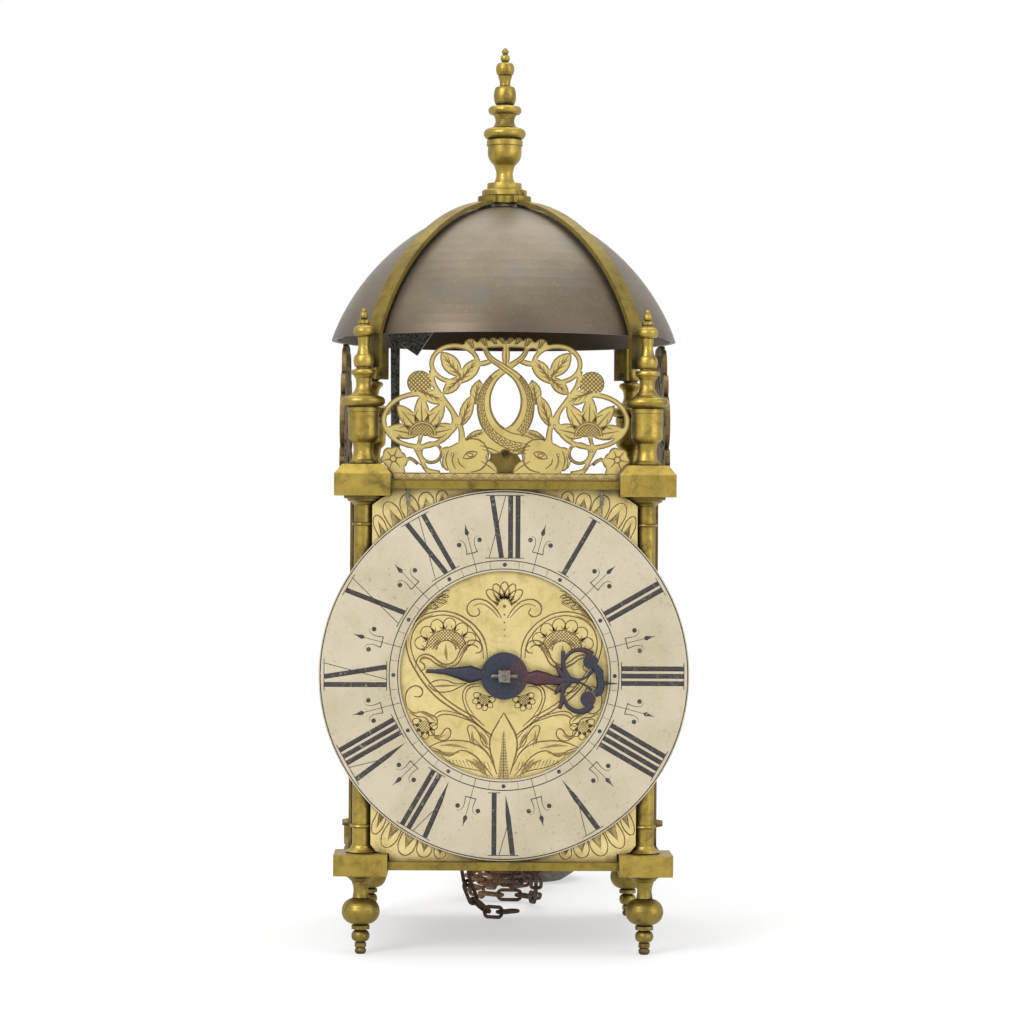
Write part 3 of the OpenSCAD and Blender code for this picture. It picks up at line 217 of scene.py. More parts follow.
metalTones = {
    "silver": {"bright": (0.525, 0.465, 0.345), "dim": (0.44, 0.38, 0.25), "spot": (0.25, 0.2, 0.12),
               "light": (0.6, 0.54, 0.42)},
    "bell": {"dark": (0.118, 0.092, 0.061), "light": (0.175, 0.141, 0.1), "speck": (0.22, 0.19, 0.14),
             "grey": (0.12, 0.122, 0.115), "ring": (0.08, 0.055, 0.04), "lipShade": (0.075, 0.05, 0.034)},
    "hand": {"blue": (0.04, 0.045, 0.062), "red": (0.1, 0.042, 0.042), "speck": (0.02, 0.017, 0.02)},
    "iron": {"rust": (0.2, 0.075, 0.025)},
    "chain": {"light": (0.13, 0.08, 0.05), "lightTan": (0.42, 0.27, 0.14), "dark": (0.035, 0.022, 0.016),
              "darkTan": (0.13, 0.07, 0.035), "rust": (0.16, 0.06, 0.022)},
    "wax": {"dark": (0.018, 0.016, 0.017), "light": (0.05, 0.046, 0.044), "worn": (0.32, 0.28, 0.2)},
}
# Where tones change, in metres: height of the bell's lip, below which painted shade darkens the bell,
# the hand's red arm and the heap's tan side, which is painted light, each with the width over which it fades
zones = {"bellLip": 0.281, "lipFade": 0.014, "redFrom": 0.003, "redTo": 0.026, "redFade": 0.004,
         "heapFront": 0.098, "heapFade": 0.006, "heapRight": 0.01, "tanFade": 0.016}


def silverFinish():
    paint, tones = Paint("silveredBrass"), metalTones["silver"]
    clouds = paint.noise(30 * mm, 5, 0.6)
    spots = paint.noise(1.5 * mm, 4, 0.6)
    fine = paint.noise(0.7 * mm, 3, 0.6)
    colour = paint.mix(tones["bright"], tones["dim"], paint.ramp(clouds, (0.4, 0), (0.7, 1)))
    spotted = paint.ramp(spots, (0.6, 0), (0.72, 0.7)) * paint.ramp(clouds, (0.35, 0.35), (0.6, 1))
    colour = paint.mix(colour, tones["spot"], spotted)
    colour = paint.mix(colour, tones["light"], paint.ramp(fine, (0.52, 0), (0.8, 0.5)))
    return paint.finish(colour, 0.42 + fine * 0.15, 0.6, paint.bump(fine, 0.03 * mm, 0.3))


def bellFinish():
    paint, tones = Paint("bellBronze"), metalTones["bell"]
    height = paint.axis("Z")
    clouds = paint.noise(42 * mm, 6, 0.6, (1, 1, 1.6))
    rings = paint.noise(2.4 * mm, 4, 0.6, (0.03, 0.03, 1))
    specks = paint.noise(1.6 * mm, 6, 0.72)
    colour = paint.mix(tones["dark"], tones["light"], paint.ramp(clouds, (0.32, 0), (0.68, 1)))
    colour = paint.mix(colour, tones["speck"], paint.ramp(specks, (0.52, 0), (0.78, 0.55)))
    grey = paint.ramp(paint.noise(26 * mm, 4, 0.5), (0.55, 0), (0.7, 0.5))
    colour = paint.mix(colour, tones["grey"], grey)
    colour = paint.mix(colour, tones["ring"], paint.ramp(rings, (0.6, 0), (0.85, 0.25)))
    # painted shade: darker towards the bottom of the bell, below the lip height
    low = ((zones["bellLip"] - height) / zones["lipFade"]).clamp()
    colour = paint.mix(colour, tones["lipShade"], low * 0.5)
    under = paint.bump(clouds, 0.6 * mm, 0.2, paint.bump(specks, 0.1 * mm, 0.4))
    normal = paint.bump(rings, 0.05 * mm, 0.2, under)
    return paint.finish(colour, 0.36 + specks * 0.14, 0.7, normal)


def blueFinish():
    paint, tones = Paint("bluedSteel"), metalTones["hand"]
    across = paint.axis("X")
    clouds = paint.noise(9 * mm, 4, 0.6)
    specks = paint.noise(1.1 * mm, 5, 0.7)
    arm = (((across - zones["redFrom"]) / zones["redFade"]).clamp()
           * ((zones["redTo"] - across) / zones["redFade"]).clamp())
    patches = paint.ramp(clouds, (0.52, 0), (0.62, 0.5))
    red = (arm * 0.75 * paint.ramp(clouds, (0.36, 0.3), (0.5, 1)) + patches).clamp()
    colour = paint.mix(tones["blue"], tones["red"], red)
    colour = paint.mix(colour, tones["speck"], paint.ramp(specks, (0.5, 0), (0.7, 0.85)))
    return paint.finish(colour, 0.36 + specks * 0.22, 0.7, paint.bump(specks, 0.1 * mm, 0.5))


def ironFinish(name, dark, light, pits, rust=0.0):
    paint = Paint(name)
    clouds = paint.noise(8 * mm, 5, 0.6)
    fine = paint.noise(pits, 6, 0.7)
    colour = paint.mix(dark, light, paint.ramp(fine, (0.42, 0), (0.64, 1)))
    colour = paint.mix(colour, metalTones["iron"]["rust"], paint.ramp(clouds, (0.45, 0), (0.68, rust)))
    return paint.finish(colour, 0.5 + fine * 0.25, 0.7, paint.bump(fine, 0.35 * mm, 0.6))


def chainFinish():
    # the heap's left painted tan as lit, the hanging strands and the heap's right dark brown as painted
    # shade, with rust patches
    paint, tones = Paint("rustyIron"), metalTones["chain"]
    fine = paint.noise(1.3 * mm, 6, 0.72)
    clouds = paint.noise(6 * mm, 4, 0.6)
    # painted light: 1 on the back of the heap's left side, where both tones turn tan
    litHeap = (((paint.axis("Y") - zones["heapFront"]) / zones["heapFade"]).clamp()
            * ((zones["heapRight"] - paint.axis("X")) / zones["tanFade"]).clamp())
    light = paint.mix(tones["light"], tones["lightTan"], litHeap)
    dark = paint.mix(tones["dark"], tones["darkTan"], litHeap)
    colour = paint.mix(dark, light, paint.ramp(fine, (0.38, 0), (0.64, 1)))
    colour = paint.mix(colour, tones["rust"], paint.ramp(clouds, (0.5, 0), (0.7, 0.6)))
    return paint.finish(colour, 0.62 + fine * 0.2, 0.35, paint.bump(fine, 0.3 * mm, 0.7))


def flatFinish(name, colour, roughness, metallic=0.0, reach=0.8):
    paint = Paint(name)
    specks = paint.noise(1.1 * mm, 4, 0.7)
    lighter = tuple(min(1, c * 2.2 + 0.03) for c in colour)
    speckled = paint.mix(colour, lighter, paint.ramp(specks, (0.5, 0), (0.75, reach)))
    return paint.finish(speckled, roughness, metallic)


def waxFinish():
    paint, tones = Paint("blackWax"), metalTones["wax"]
    scratches = paint.noise(2.6 * mm, 6, 0.8, distortion=1.2)
    specks = paint.noise(0.8 * mm, 4, 0.7)
    worn = (paint.ramp(scratches, (0.56, 0), (0.63, 0.7)) * paint.ramp(specks, (0.4, 0), (0.5, 1))).clamp()
    colour = paint.mix(tones["dark"], tones["light"], paint.ramp(specks, (0.5, 0), (0.75, 1)))
    return paint.finish(paint.mix(colour, tones["worn"], worn), 0.5)


turnedBrass = brass("turnedBrass", "turned", 0.6, 0.6, turned=True)
footBrass = brass("footBrass", "foot", 0.45, 0.9, turned=True)
plateBrass = brass("plateBrass", "plate", 0.35, 0.8)
strapBrass = brass("strapBrass", "plate", 0.6, 0.4)
fretBrass = brass("fretBrass", "fret", 0.7, 0.2, outline=1.3)
dialBrass = brass("dialBrass", "dial", 0.75, 0.25, relief=1.0)
dullBrass = brass("dullBrass", "dull", 0.1, 0.7)
wheelBrass = brass("wheelBrass", "wheel", 0.5, 0.4)
silver = silverFinish()
bellBronze = bellFinish()
blued = blueFinish()
blackIron = ironFinish("blackIron", (0.07, 0.07, 0.066), (0.46, 0.44, 0.39), 1.1 * mm)
greyIron = ironFinish("greyIron", (0.09, 0.085, 0.08), (0.3, 0.29, 0.27), 0.8 * mm, 0.25)
rustyIron = chainFinish()
dullLead = ironFinish("dullLead", (0.12, 0.11, 0.09), (0.27, 0.25, 0.21), 3 * mm, 0.1)
blackWax = waxFinish()
engraved = flatFinish("engravedBrass", (0.13, 0.082, 0.022), 0.6, 0.3)
foldShade = flatFinish("foldShade", (0.23, 0.16, 0.055), 0.6, 0.3, reach=0.3)
fretCut = flatFinish("fretCut", (0.14, 0.09, 0.025), 0.6, 0.2)
# pale brass for the painted highlights beside the dial's cuts
cutHighlight = flatFinish("cutHighlight", (0.72, 0.6, 0.3), 0.5, 0.8)

finishes = {
    footBrass: ["foot_"],
    turnedBrass: ["pillar_", "finial_", "top_finial", "door_left_knob", "door_right_knob"],
    plateBrass: ["top_plate", "bottom_plate"],
    strapBrass: ["bell_frame"],
    fretBrass: ["fret_front"],
    dialBrass: ["dial_plate"],
    dullBrass: ["fret_left", "fret_right", "back_plate", "door_left", "door_right"],
    wheelBrass: ["_bar", "_wheel", "_sprocket", "_cock", "potence", "pendulum_bob", "fly"],
    silver: ["chapter_ring", "bell_washer_and_nut"],
    bellBronze: ["bell"],
    blued: ["hour_hand"],
    blackIron: ["hammer", "hammer_spring", "locking_detent"],
    greyIron: ["pins", "pin", "screws", "hand_arbor", "verge", "pendulum_rod", "bell_frame_pins"],
    rustyIron: ["chain"],
    dullLead: ["weight"],
}


def dress():
    exact = {word: material for material, words in finishes.items() for word in words}
    for name, piece in nodes.items():
        words = [w for w in exact if w == name] or sorted((w for w in exact if w in name), key=len)[-1:]
        piece.data.materials.clear()
        piece.data.materials.append(exact[words[0]])
    print("finishes on", len(nodes), "nodes")


dress()

# Width of the worn edges in millimetres
softened = {
    "pillar_front_left": 0.6, "pillar_front_right": 0.6, "pillar_back_left": 0.6, "pillar_back_right": 0.6,
    "top_plate": 0.35, "bottom_plate": 0.35, "bell_frame": 0.35, "hammer": 0.3,
}


def soften():
    for name, width in softened.items():
        bevel = nodes[name].modifiers.new("worn_edges", "BEVEL")
        bevel.width = width * mm
        bevel.segments = 2
        bevel.limit_method = "ANGLE"
        bevel.angle_limit = math.radians(50)
    print("worn edges on", len(softened), "nodes")


soften()


# Engraving and filled lines: flattened strokes let into a face

def frontFace(y, z):
    return Matrix(((mm, 0, 0, 0), (0, 0, -mm, y), (0, mm, 0, z), (0, 0, 0, 1)))


def strokes(name, lines, dots, place, height, material, body="frame", steps=4, rounded=False):
    # lines hold (across, up, half width) points in millimetres, dots hold (across, up, radius)
    data = bpy.data.curves.new(name, "CURVE")
    data.dimensions = "3D"
    data.twist_mode = "Z_UP"
    data.bevel_depth = 1
    data.bevel_resolution = 1
    data.resolution_u = steps
    data.use_fill_caps = True
    for line in lines:
        smooth = len(line) > 2
        spline = data.splines.new("BEZIER" if smooth else "POLY")
        points = spline.bezier_points if smooth else spline.points
        points.add(len(line) - 1)
        for point, (across, up, half) in zip(points, line):
            if smooth:
                point.co = (across, up, 0)
                point.handle_left_type = point.handle_right_type = "AUTO"
            else:
                point.co = (across, up, 0, 1)
            point.radius = half
    scratch = bpy.data.objects.new(name + "_lines", data)
    bpy.context.scene.collection.objects.link(scratch)
    graph = bpy.context.evaluated_depsgraph_get()
    mesh = bpy.data.meshes.new_from_object(scratch.evaluated_get(graph))
    shape = bmesh.new()
    shape.from_mesh(mesh)
    for across, up, radius in dots:
        bmesh.ops.create_cone(shape, cap_ends=True, segments=16, radius1=radius, radius2=radius, depth=2,
                              matrix=Matrix.Translation((across, up, 0)))
    for vert in shape.verts:
        level = vert.co.z / height
        vert.co.z = height * (level / math.hypot(1, level) if rounded else max(-1, min(1, level)))
    bmesh.ops.transform(shape, matrix=place, verts=shape.verts)
    bmesh.ops.recalc_face_normals(shape, faces=shape.faces)
    shape.to_mesh(mesh)
    shape.free()
    bpy.data.objects.remove(scratch)
    piece = bpy.data.objects.new(name, mesh)
    bpy.context.scene.collection.objects.link(piece)
    mesh.materials.clear()
    mesh.materials.append(material)
    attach(piece, body)
    print(name, len(mesh.polygons), "faces")
    return piece


# Cuts, in millimetres: how far they stand from their face, and how much wider they are than drawn;
# the painted highlight beside each dial cut: its shift, its width against the drawn line, and its height
cut = {"height": 0.04, "shadeHeight": 0.03, "dialWiden": 2.3, "fretWiden": 2.1,
       "highlightShift": (0.3, -0.3), "highlightShare": 1.1, "highlightHeight": 0.024}


def moved(lines, shift, widen):
    return [[(x + shift[0], y + shift[1], half * widen) for x, y, half in line] for line in lines]


def cutStrokes(name, lines, dots, place, height, widen, material, steps=3):
    wide = moved(lines, (0, 0), widen)
    return strokes(name, wide, dots, place, height, material, steps=steps)


def ringLine(radius, half, turns=96):
    return [(radius * math.sin(2 * math.pi * i / turns), radius * math.cos(2 * math.pi * i / turns), half)
            for i in range(turns + 1)]


def turnedBy(line, degrees):
    # clockwise about the middle of the dial
    a = math.radians(degrees)
    return [(x * math.cos(a) + y * math.sin(a), y * math.cos(a) - x * math.sin(a), w) for x, y, w in line]


def mirrored(lines):
    return lines + [[(-x, y, w) for x, y, w in line] for line in lines]


# Height of the dial's middle and its faces in metres; the numerals' radii and half widths in millimetres
dial = {"centre": 0.12, "ringFace": -0.0668, "plateFace": -0.0652, "numeralTop": 76.9, "numeralFoot": 50.4,
        "bar": 1.05, "thin": 0.16, "serif": 0.17, "serifReach": 1.6, "lineHeight": 0.05,
        "rings": ((78.7, 0.25), (49.2, 0.22), (45.6, 0.2)), "hourDot": (0, 47.4, 0.88),
        "tick": ((0, 45.6, 0.08), (0, 49.2, 0.08)), "tickTurns": (7.5, 22.5)}
# Distance between the middles of two letters
letterGaps = {"II": 3.15, "XX": 6, "XI": 5.1, "VI": 5.1, "IX": 6.3, "IV": 5.1}
numerals = ["XII", "I", "II", "III", "IIII", "V", "VI", "VII", "VIII", "IX", "X", "XI"]


def numeral(word):
    # thick and thin strokes with their feet towards the centre, laid out round the middle of the word
    top, foot = dial["numeralTop"], dial["numeralFoot"]
    bar, thin = dial["bar"], dial["thin"]
    lines, tops, feet = [], [], []
    at = 0
    for i, letter in enumerate(word):
        if i:
            at += letterGaps[word[i - 1] + letter]
        if letter == "I":
            lines.append([(at, top, bar), (at, foot, bar)])
            tops += [at - bar, at + bar]
            feet += [at - bar, at + bar]
        elif letter == "X":
            lines.append([(at - 2.9, top, bar), (at + 1.3, foot, bar)])
            lines.append([(at + 2.9, top, thin), (at - 4, foot, thin)])
            tops += [at - 3.9, at + 3.1]
            feet += [at - 4.1, at + 2.4]
        else:
            lines.append([(at - 2.9, top, bar * 1.05), (at - 0.9, foot + 10, bar),
                          (at + 0.2, foot + 1, 0.08)])
            lines.append([(at + 2.9, top, thin), (at - 0.8, foot + 13.5, thin)])
            tops += [at - 3.9, at + 3.1]
    for ends, level in ((tops, top + 0.15), (feet, foot - 0.15)):
        if ends:
            reach, half = dial["serifReach"], dial["serif"]
            lines.append([(min(ends) - reach, level, half), (max(ends) + reach, level, half)])
    middle = (min(tops) + max(tops)) / 2
    return [[(x - middle, y, w) for x, y, w in line] for line in lines]


def halfHourMark():
    # a stem with its leaf, a cross bar and two curls with dots
    lines = [
        [(0, 45.5, 0.14), (0, 62.4, 0.12)],
        [(0, 61.9, 0.15), (0, 62.5, 0.75), (0, 63.2, 0.95), (0, 64.2, 0.62), (0.1, 65.4, 0.24),
         (0.15, 67, 0.04)],
        [(-2.5, 54.2, 0.2), (2.5, 54.2, 0.2)],
    ]
    curl = [(2.3, 54.3, 0.2), (2.0, 56.4, 0.16), (2.1, 58.6, 0.13), (3.1, 60.4, 0.1), (4.5, 60.6, 0.06)]
    dots = [(4.5, 58.9, 1.0), (-4.5, 58.9, 1.0)]
    return lines + mirrored([curl]), dots


def dialMarks():
    lines = [ringLine(radius, half) for radius, half in dial["rings"]]
    dots = []
    markLines, markDots = halfHourMark()
    for hour, word in enumerate(numerals):
        turn = 30 * hour
        lines += [turnedBy(line, turn) for line in numeral(word)]
        lines += [turnedBy(line, turn + 15) for line in markLines]
        dots += turnedBy(markDots, turn + 15)
        dots += turnedBy([dial["hourDot"]], turn)
        lines += [turnedBy(dial["tick"], turn + step) for step in dial["tickTurns"]]
    place = frontFace(dial["ringFace"], dial["centre"])
    return strokes("dial_marks", lines, dots, place, dial["lineHeight"], blackWax)


dialMarks()


# Engraved ornament: each line is (half width, points), in millimetres from the dial's middle or fret's foot

def penned(table):
    return [[(x, y, half * (0.55 if i in (0, len(points) - 1) else 1)) for i, (x, y) in enumerate(points)]
            for half, points in table]


def halfRing(centre, radius, half, step):
    # the upper half of a circle
    x, y = centre
    return [(x + radius * math.cos(math.radians(a)), y + radius * math.sin(math.radians(a)), half)
            for a in range(0, 181, step)]


def petal(base, tip, width, half=0.13, veins=4):
    # a rounded petal with short shading strokes at its root
    root, point = Vector(base), Vector(tip)
    along = point - root
    side = Vector((-along.y, along.x)).normalized() * width / 2
    outline = [root + side * 0.8, root + along * 0.4 + side, root + along * 0.8 + side * 0.75, point,
               root + along * 0.8 - side * 0.75, root + along * 0.4 - side, root - side * 0.8]
    lines = [[(q.x, q.y, half) for q in outline]]
    for i in range(veins):
        lean = (i / max(1, veins - 1) - 0.5) * 1.2
        start = root + side * lean
        end = root + along * (0.56 - 0.5 * abs(lean) * 0.6) + side * lean * 0.5
        middle = (start + end) / 2
        lines.append([(start.x, start.y, half), (middle.x, middle.y, half * 0.8), (end.x, end.y, half * 0.3)])
    for lean in (-1, 1):  # dark wedges where it meets its neighbours
        start, end = root + side * lean * 0.85, root + along * 0.42 + side * lean
        lines.append([(start.x, start.y, half * 3), (end.x, end.y, half * 0.4)])
    return lines


def leafBlade(base, tip, width):
    # a long leaf seen up to its rounded tip, shaded along its middle
    root, point = Vector(base), Vector(tip)
    along = point - root
    side = Vector((-along.y, along.x)).normalized() * width / 2
    outline = [root + side * 0.7, root + along * 0.45 + side * 0.96, root + along * 0.82 + side * 0.78, point,
               root + along * 0.82 - side * 0.78, root + along * 0.45 - side * 0.96, root - side * 0.7]
    lines = [[(q.x, q.y, 0.13) for q in outline]]
    for i in range(7):
        lean = (i - 3) / 3 * 0.6
        start = root + along * 0.2 + side * lean
        end = root + along * (0.78 - 0.34 * abs(lean)) + side * lean * 0.35
        lines.append([(start.x, start.y, 0.12), (end.x, end.y, 0.04)])
    return lines


def hatched(centre, reach, pitch, half, low=-99.0, angles=(45, -45), skip=0.0):
    # straight lines at these angles, kept inside an oval, above low and outside its inner share
    lines = []
    for angle in angles:
        way = Vector((math.cos(math.radians(angle)), math.sin(math.radians(angle))))
        across = Vector((-way.y, way.x))
        count = int(max(reach) / pitch)
        for k in range(-count, count + 1):
            run = []
            for t in range(-40, 41):
                q = across * k * pitch + way * max(reach) * t / 40
                size = math.hypot(q.x / reach[0], q.y / reach[1])
                if skip < size < 1 and q.y > low:
                    run.append(q)
                elif len(run) > 3:
                    lines.append(run)
                    run = []
                else:
                    run = []
            if len(run) > 3:
                lines.append(run)
    return [[(centre[0] + q.x, centre[1] + q.y, half) for q in (run[0], run[-1])] for run in lines]


def sunflower(centre, size, half, tips):
    # a half disc of crossed lines with petals round it
    x, y = centre
    lines = hatched(centre, (size, size), size * 0.19, half * 0.6, 0, skip=0.0)
    for reach in (1, 1.2):
        lines.append(halfRing(centre, size * reach, half, 20))
    for tip in tips:
        out = Vector(tip)
        foot = out.normalized() * size * 1.2
        point = Vector((x, y)) + out
        for lean in (-0.16, 0, 0.16):
            side = Vector((-out.y, out.x)) * lean
            start = Vector((x, y)) + foot + side
            end = start.lerp(point, 0.78 if lean == 0 else 0.5)
            bend = start.lerp(end, 0.5) + side * 0.25
            lines.append([(start.x, start.y, half * 1.1), (bend.x, bend.y, half * 0.9),
                          (end.x, end.y, half * 0.3)])
    return lines


dialShades = [  # broad soft cuts in the folds of leaves and petals
    ((-7, -43.6, 0.06), (-9.4, -39, 0.42), (-13.2, -35.8, 0.06)),
    ((-8.2, -43, 0.05), (-11.6, -38.6, 0.34), (-16.4, -36, 0.05)),
    ((-31, -31.9, 0.05), (-26, -33.6, 0.36), (-18.6, -33.2, 0.05)),
    ((-27.5, -30.2, 0.05), (-22, -30, 0.26), (-15.4, -31.4, 0.05)),
    ((-6.6, -30, 0.05), (-8.6, -26.6, 0.36), (-10.2, -24.2, 0.05)),
    ((-12.6, -30.6, 0.05), (-13.4, -27.4, 0.32), (-13.6, -23.8, 0.05)),
    ((-36.6, 5.2, 0.05), (-34.6, 7.4, 0.32), (-31.8, 6.6, 0.05)),
    ((-30.4, 5.8, 0.05), (-27, 3.9, 0.32), (-22.8, 4.2, 0.05)),
    ((-19.4, 7.2, 0.05), (-17.2, 11.4, 0.32), (-14.4, 13.5, 0.05)),
    ((-24.4, 6.2, 0.05), (-25, 9.2, 0.3), (-25, 13.2, 0.05)),
    ((-30.6, 10.8, 0.05), (-29.2, 13.6, 0.3), (-26.6, 15.6, 0.05)),
    ((-19, 10.8, 0.05), (-20.2, 13.8, 0.3), (-22.6, 15.6, 0.05)),
    ((-37, -15.6, 0.05), (-32.6, -17, 0.34), (-29.2, -20, 0.05)),
    ((-31.6, -22.4, 0.05), (-29, -26.6, 0.36), (-25.2, -25.6, 0.05)),
    ((-30.4, 25.9, 0.05), (-35.6, 23.4, 0.26), (-39.6, 17.4, 0.05)),
    ((-31.4, -5, 0.05), (-26, -4.6, 0.24), (-19.6, -4.5, 0.05)),
    ((-30, 30.6, 0.05), (-33.6, 27.6, 0.36), (-37, 23.6, 0.05)),
]
dialScrolls = [
    (0.17, ((-4.9, -26.2), (-13.2, -19.8), (-21.8, -14.6), (-29.8, -8.7), (-37.1, 0.5), (-41.4, 9.7),
            (-41.4, 17.7), (-37.1, 23.8), (-30.4, 26.9), (-23.6, 27), (-16.9, 24.4), (-10.7, 18.9),
            (-7.7, 12.8), (-7.2, 7.2))),
    (0.15, ((-8.3, -21.9), (-12, -18.5), (-19.3, -14.2), (-26.7, -8.7), (-34.7, 0.5), (-39.3, 9.1),
            (-39.6, 16.5), (-35.9, 22.6), (-29.8, 25.2), (-23.6, 25.4), (-18.1, 23.2), (-12.6, 18.3),
            (-9.5, 12.8), (-8.9, 7.2))),
    (0.15, ((-5.8, -27.1), (-10.7, -21.6), (-17.5, -18.5), (-23, -17), (-27.3, -17.3), (-28.9, -18.5))),
    (0.13, ((-14.4, -18.2), (-19.3, -16.7), (-24.3, -15.5), (-27.9, -15.8), (-29.8, -17.3))),
    (0.14, ((-5.2, -25.6), (-13.2, -19.2), (-17.2, -11.8), (-17.5, -7.5), (-15.7, -4.7),
            (-10.7, -3.5))),
    (0.12, ((-12, -18.5), (-15.7, -12.4), (-16.3, -8.1), (-14.4, -5.3), (-10.4, -4.7))),
    (0.17, ((-37.8, 2.9), (-37.5, 6), (-35, 8.6), (-31.3, 8.2), (-28.2, 5.9), (-24.9, 4.5),
            (-20.9, 6.3), (-19, 10.3), (-16.3, 14), (-12.6, 14.9), (-10, 13.4), (-9.8, 10.3),
            (-12.3, 9.4))),
    (0.15, ((-35.9, 1.1), (-33.8, 3.6), (-35.9, 6.6), (-32.8, 7.2), (-29.2, 4.8), (-24.9, 2.9),
            (-20, 4.8), (-17.5, 9.1), (-15, 12.5), (-12.6, 12.8), (-11.1, 11.5))),
    (0.17, ((-4, -39.4), (-7.1, -33.3), (-12, -29.6), (-19.3, -28.1), (-26.7, -28.7), (-31.9, -30.8))),
    (0.15, ((-31.9, -30.8), (-27.3, -32.4), (-23.6, -34.8), (-18.7, -32.4), (-13.8, -33.6),
            (-8.9, -38.2), (-4.6, -43.4))),
    (0.12, ((-26.7, -34.5), (-23, -37.4), (-17.5, -39.6), (-10.7, -41), (-5.8, -43.4))),
    (0.19, ((0, -16.1), (-2.8, -21), (-5.5, -26.5), (-5.8, -31.4), (-4.3, -37.6), (-2.8, -42.5))),
    (0.14, ((-5.2, -32.1), (-8.9, -29.6), (-10.7, -24.7), (-15, -21.6), (-14.7, -25.9),
            (-13.8, -29.6))),
    (0.12, ((-10.7, -24.7), (-8.3, -28.4), (-5.8, -32.7))),
    (0.17, ((-41.4, -14.2), (-42.1, -9.3), (-40.2, -5.6), (-36.5, -5), (-34.8, -7.2), (-35.9, -9.3),
            (-38.4, -9.3))),
    (0.15, ((-41.4, -14.2), (-38.4, -16.4), (-34.7, -15.8), (-31.6, -17), (-28.9, -18.5), (-28.6, -21),
            (-30.7, -21.9))),
    (0.15, ((-40.5, -16.1), (-37.1, -17.9), (-33.5, -18.5), (-31.9, -21), (-30.4, -25.3),
            (-27.3, -25.9), (-24.3, -22.8), (-22.7, -24.1), (-23.6, -27.1), (-26.7, -28.1),
            (-29.8, -26.5))),
    (0.16, ((-23.6, 36.4), (-26.7, 34.9), (-23.9, 33.5), (-28.9, 33.2), (-24.9, 31.2), (-30.7, 30.9),
            (-28.6, 29), (-33.5, 28.1), (-37.8, 23.2))),
    (0.14, ((-24.9, 35.2), (-29.8, 31.8), (-34.1, 28.1), (-37.8, 23.2), (-39.6, 19.5))),
    (0.13, ((-32.5, -4.4), (-29.8, -2.6), (-24.9, -2.3), (-20.6, -3.8), (-15.7, -3.3))),
    (0.15, ((-32.5, -4.4), (-29.2, -7), (-23, -7), (-18.7, -5), (-15.7, -3.3))),
    # plain scroll above the hand
    (0.17, ((-1.2, 24.5), (-4.6, 29.4), (-9.6, 32.4), (-14.2, 31.6), (-16, 28), (-13.6, 25.2),
            (-10.6, 26.4), (-11.4, 28.8))),
    (0.12, ((-2.4, 24.6), (-6, 28.6), (-10, 30.6), (-13.4, 29.6))),
]


# Flowers: middle, headings of the petals, their roots, tips, width and veins, half width of the lines,
# and the reach, pitch and half width of the crossed lines in the heart
bigFlower = {"middle": (-24.8, 10.6), "turns": (164, 138, 111, 83, 54, 27), "root": 8.9, "tip": 13.9,
             "width": 5.4, "half": 0.12, "veins": 2, "rings": (8.7, 4.2), "ringHalf": 0.16,
             "heart": 8.5, "pitch": 0.95, "hatch": 0.075, "hatchLow": 0.6, "hatchSkip": 0.5}
smallFlowers = (
    {"middle": (-34, -22), "root": 2.2, "tip": 5.6, "width": 3, "half": 0.11, "veins": 2,
     "heart": 2.6, "pitch": 0.8, "hatch": 0.06},
    {"middle": (-8.6, -10.4), "root": 1.9, "tip": 4.9, "width": 2.6, "half": 0.1, "veins": 2,
     "heart": 2.2, "pitch": 0.7, "hatch": 0.06},
)
smallTurns = range(150, 361, 42)
topLeaf = {"middle": (-29.8, 32), "reach": (5.6, 3.4), "pitch": 0.7, "hatch": 0.07, "angle": 28}
# Shading under the turned leaves: first stroke's start and end, their moves to the next, and half widths
leafShading = {
    "strokes": 12,
    "rows": (((-23.4, -36.2), (-22, -38.4), (1.5, -0.1), (1.5, -0.25), (0.09, 0.03)),
             ((-13.6, -26.6), (-11.8, -27.9), (0.55, -0.55), (0.5, -0.52), (0.08, 0.03))),
}
middleRib = {"rows": 30, "top": -25, "step": 0.66, "reach": 0.4, "spread": 0.07, "half": 0.09,
             "line": ((0, -24, 0.05), (0, -44, 0.12))}
topFan = {"middle": (0, 30.4), "turns": (142, 116, 90, 64, 38), "root": 2, "tip": 9.6, "width": 4,
          "half": 0.14, "veins": 3}
cornerLeaves = (((-50.6, -57), (-55.4, -68.2), 5), ((-44.6, -62), (-51, -73.8), 7),
                ((-38.6, -66), (-43, -77.2), 7.6), ((-32.8, -69), (-34.4, -78.2), 6.8),
                ((-26.8, -72), (-27, -78.9), 5.4))
stemDots = [(0, 29.6, 0.7), (0, 26, 0.45), (0, 22.6, 0.4), (0, 19.6, 0.34), (0, 17, 0.28)]


def flowerPetal(flower, degrees):
    a = math.radians(degrees)
    way = Vector((math.cos(a), math.sin(a)))
    middle = Vector(flower["middle"])
    return petal(middle + way * flower["root"], middle + way * flower["tip"], flower["width"],
                 flower["half"], flower["veins"])


def flowerHeart(flower, low=-99.0, skip=0.0):
    reach = (flower["heart"], flower["heart"])
    return hatched(flower["middle"], reach, flower["pitch"], flower["hatch"], low, skip=skip)


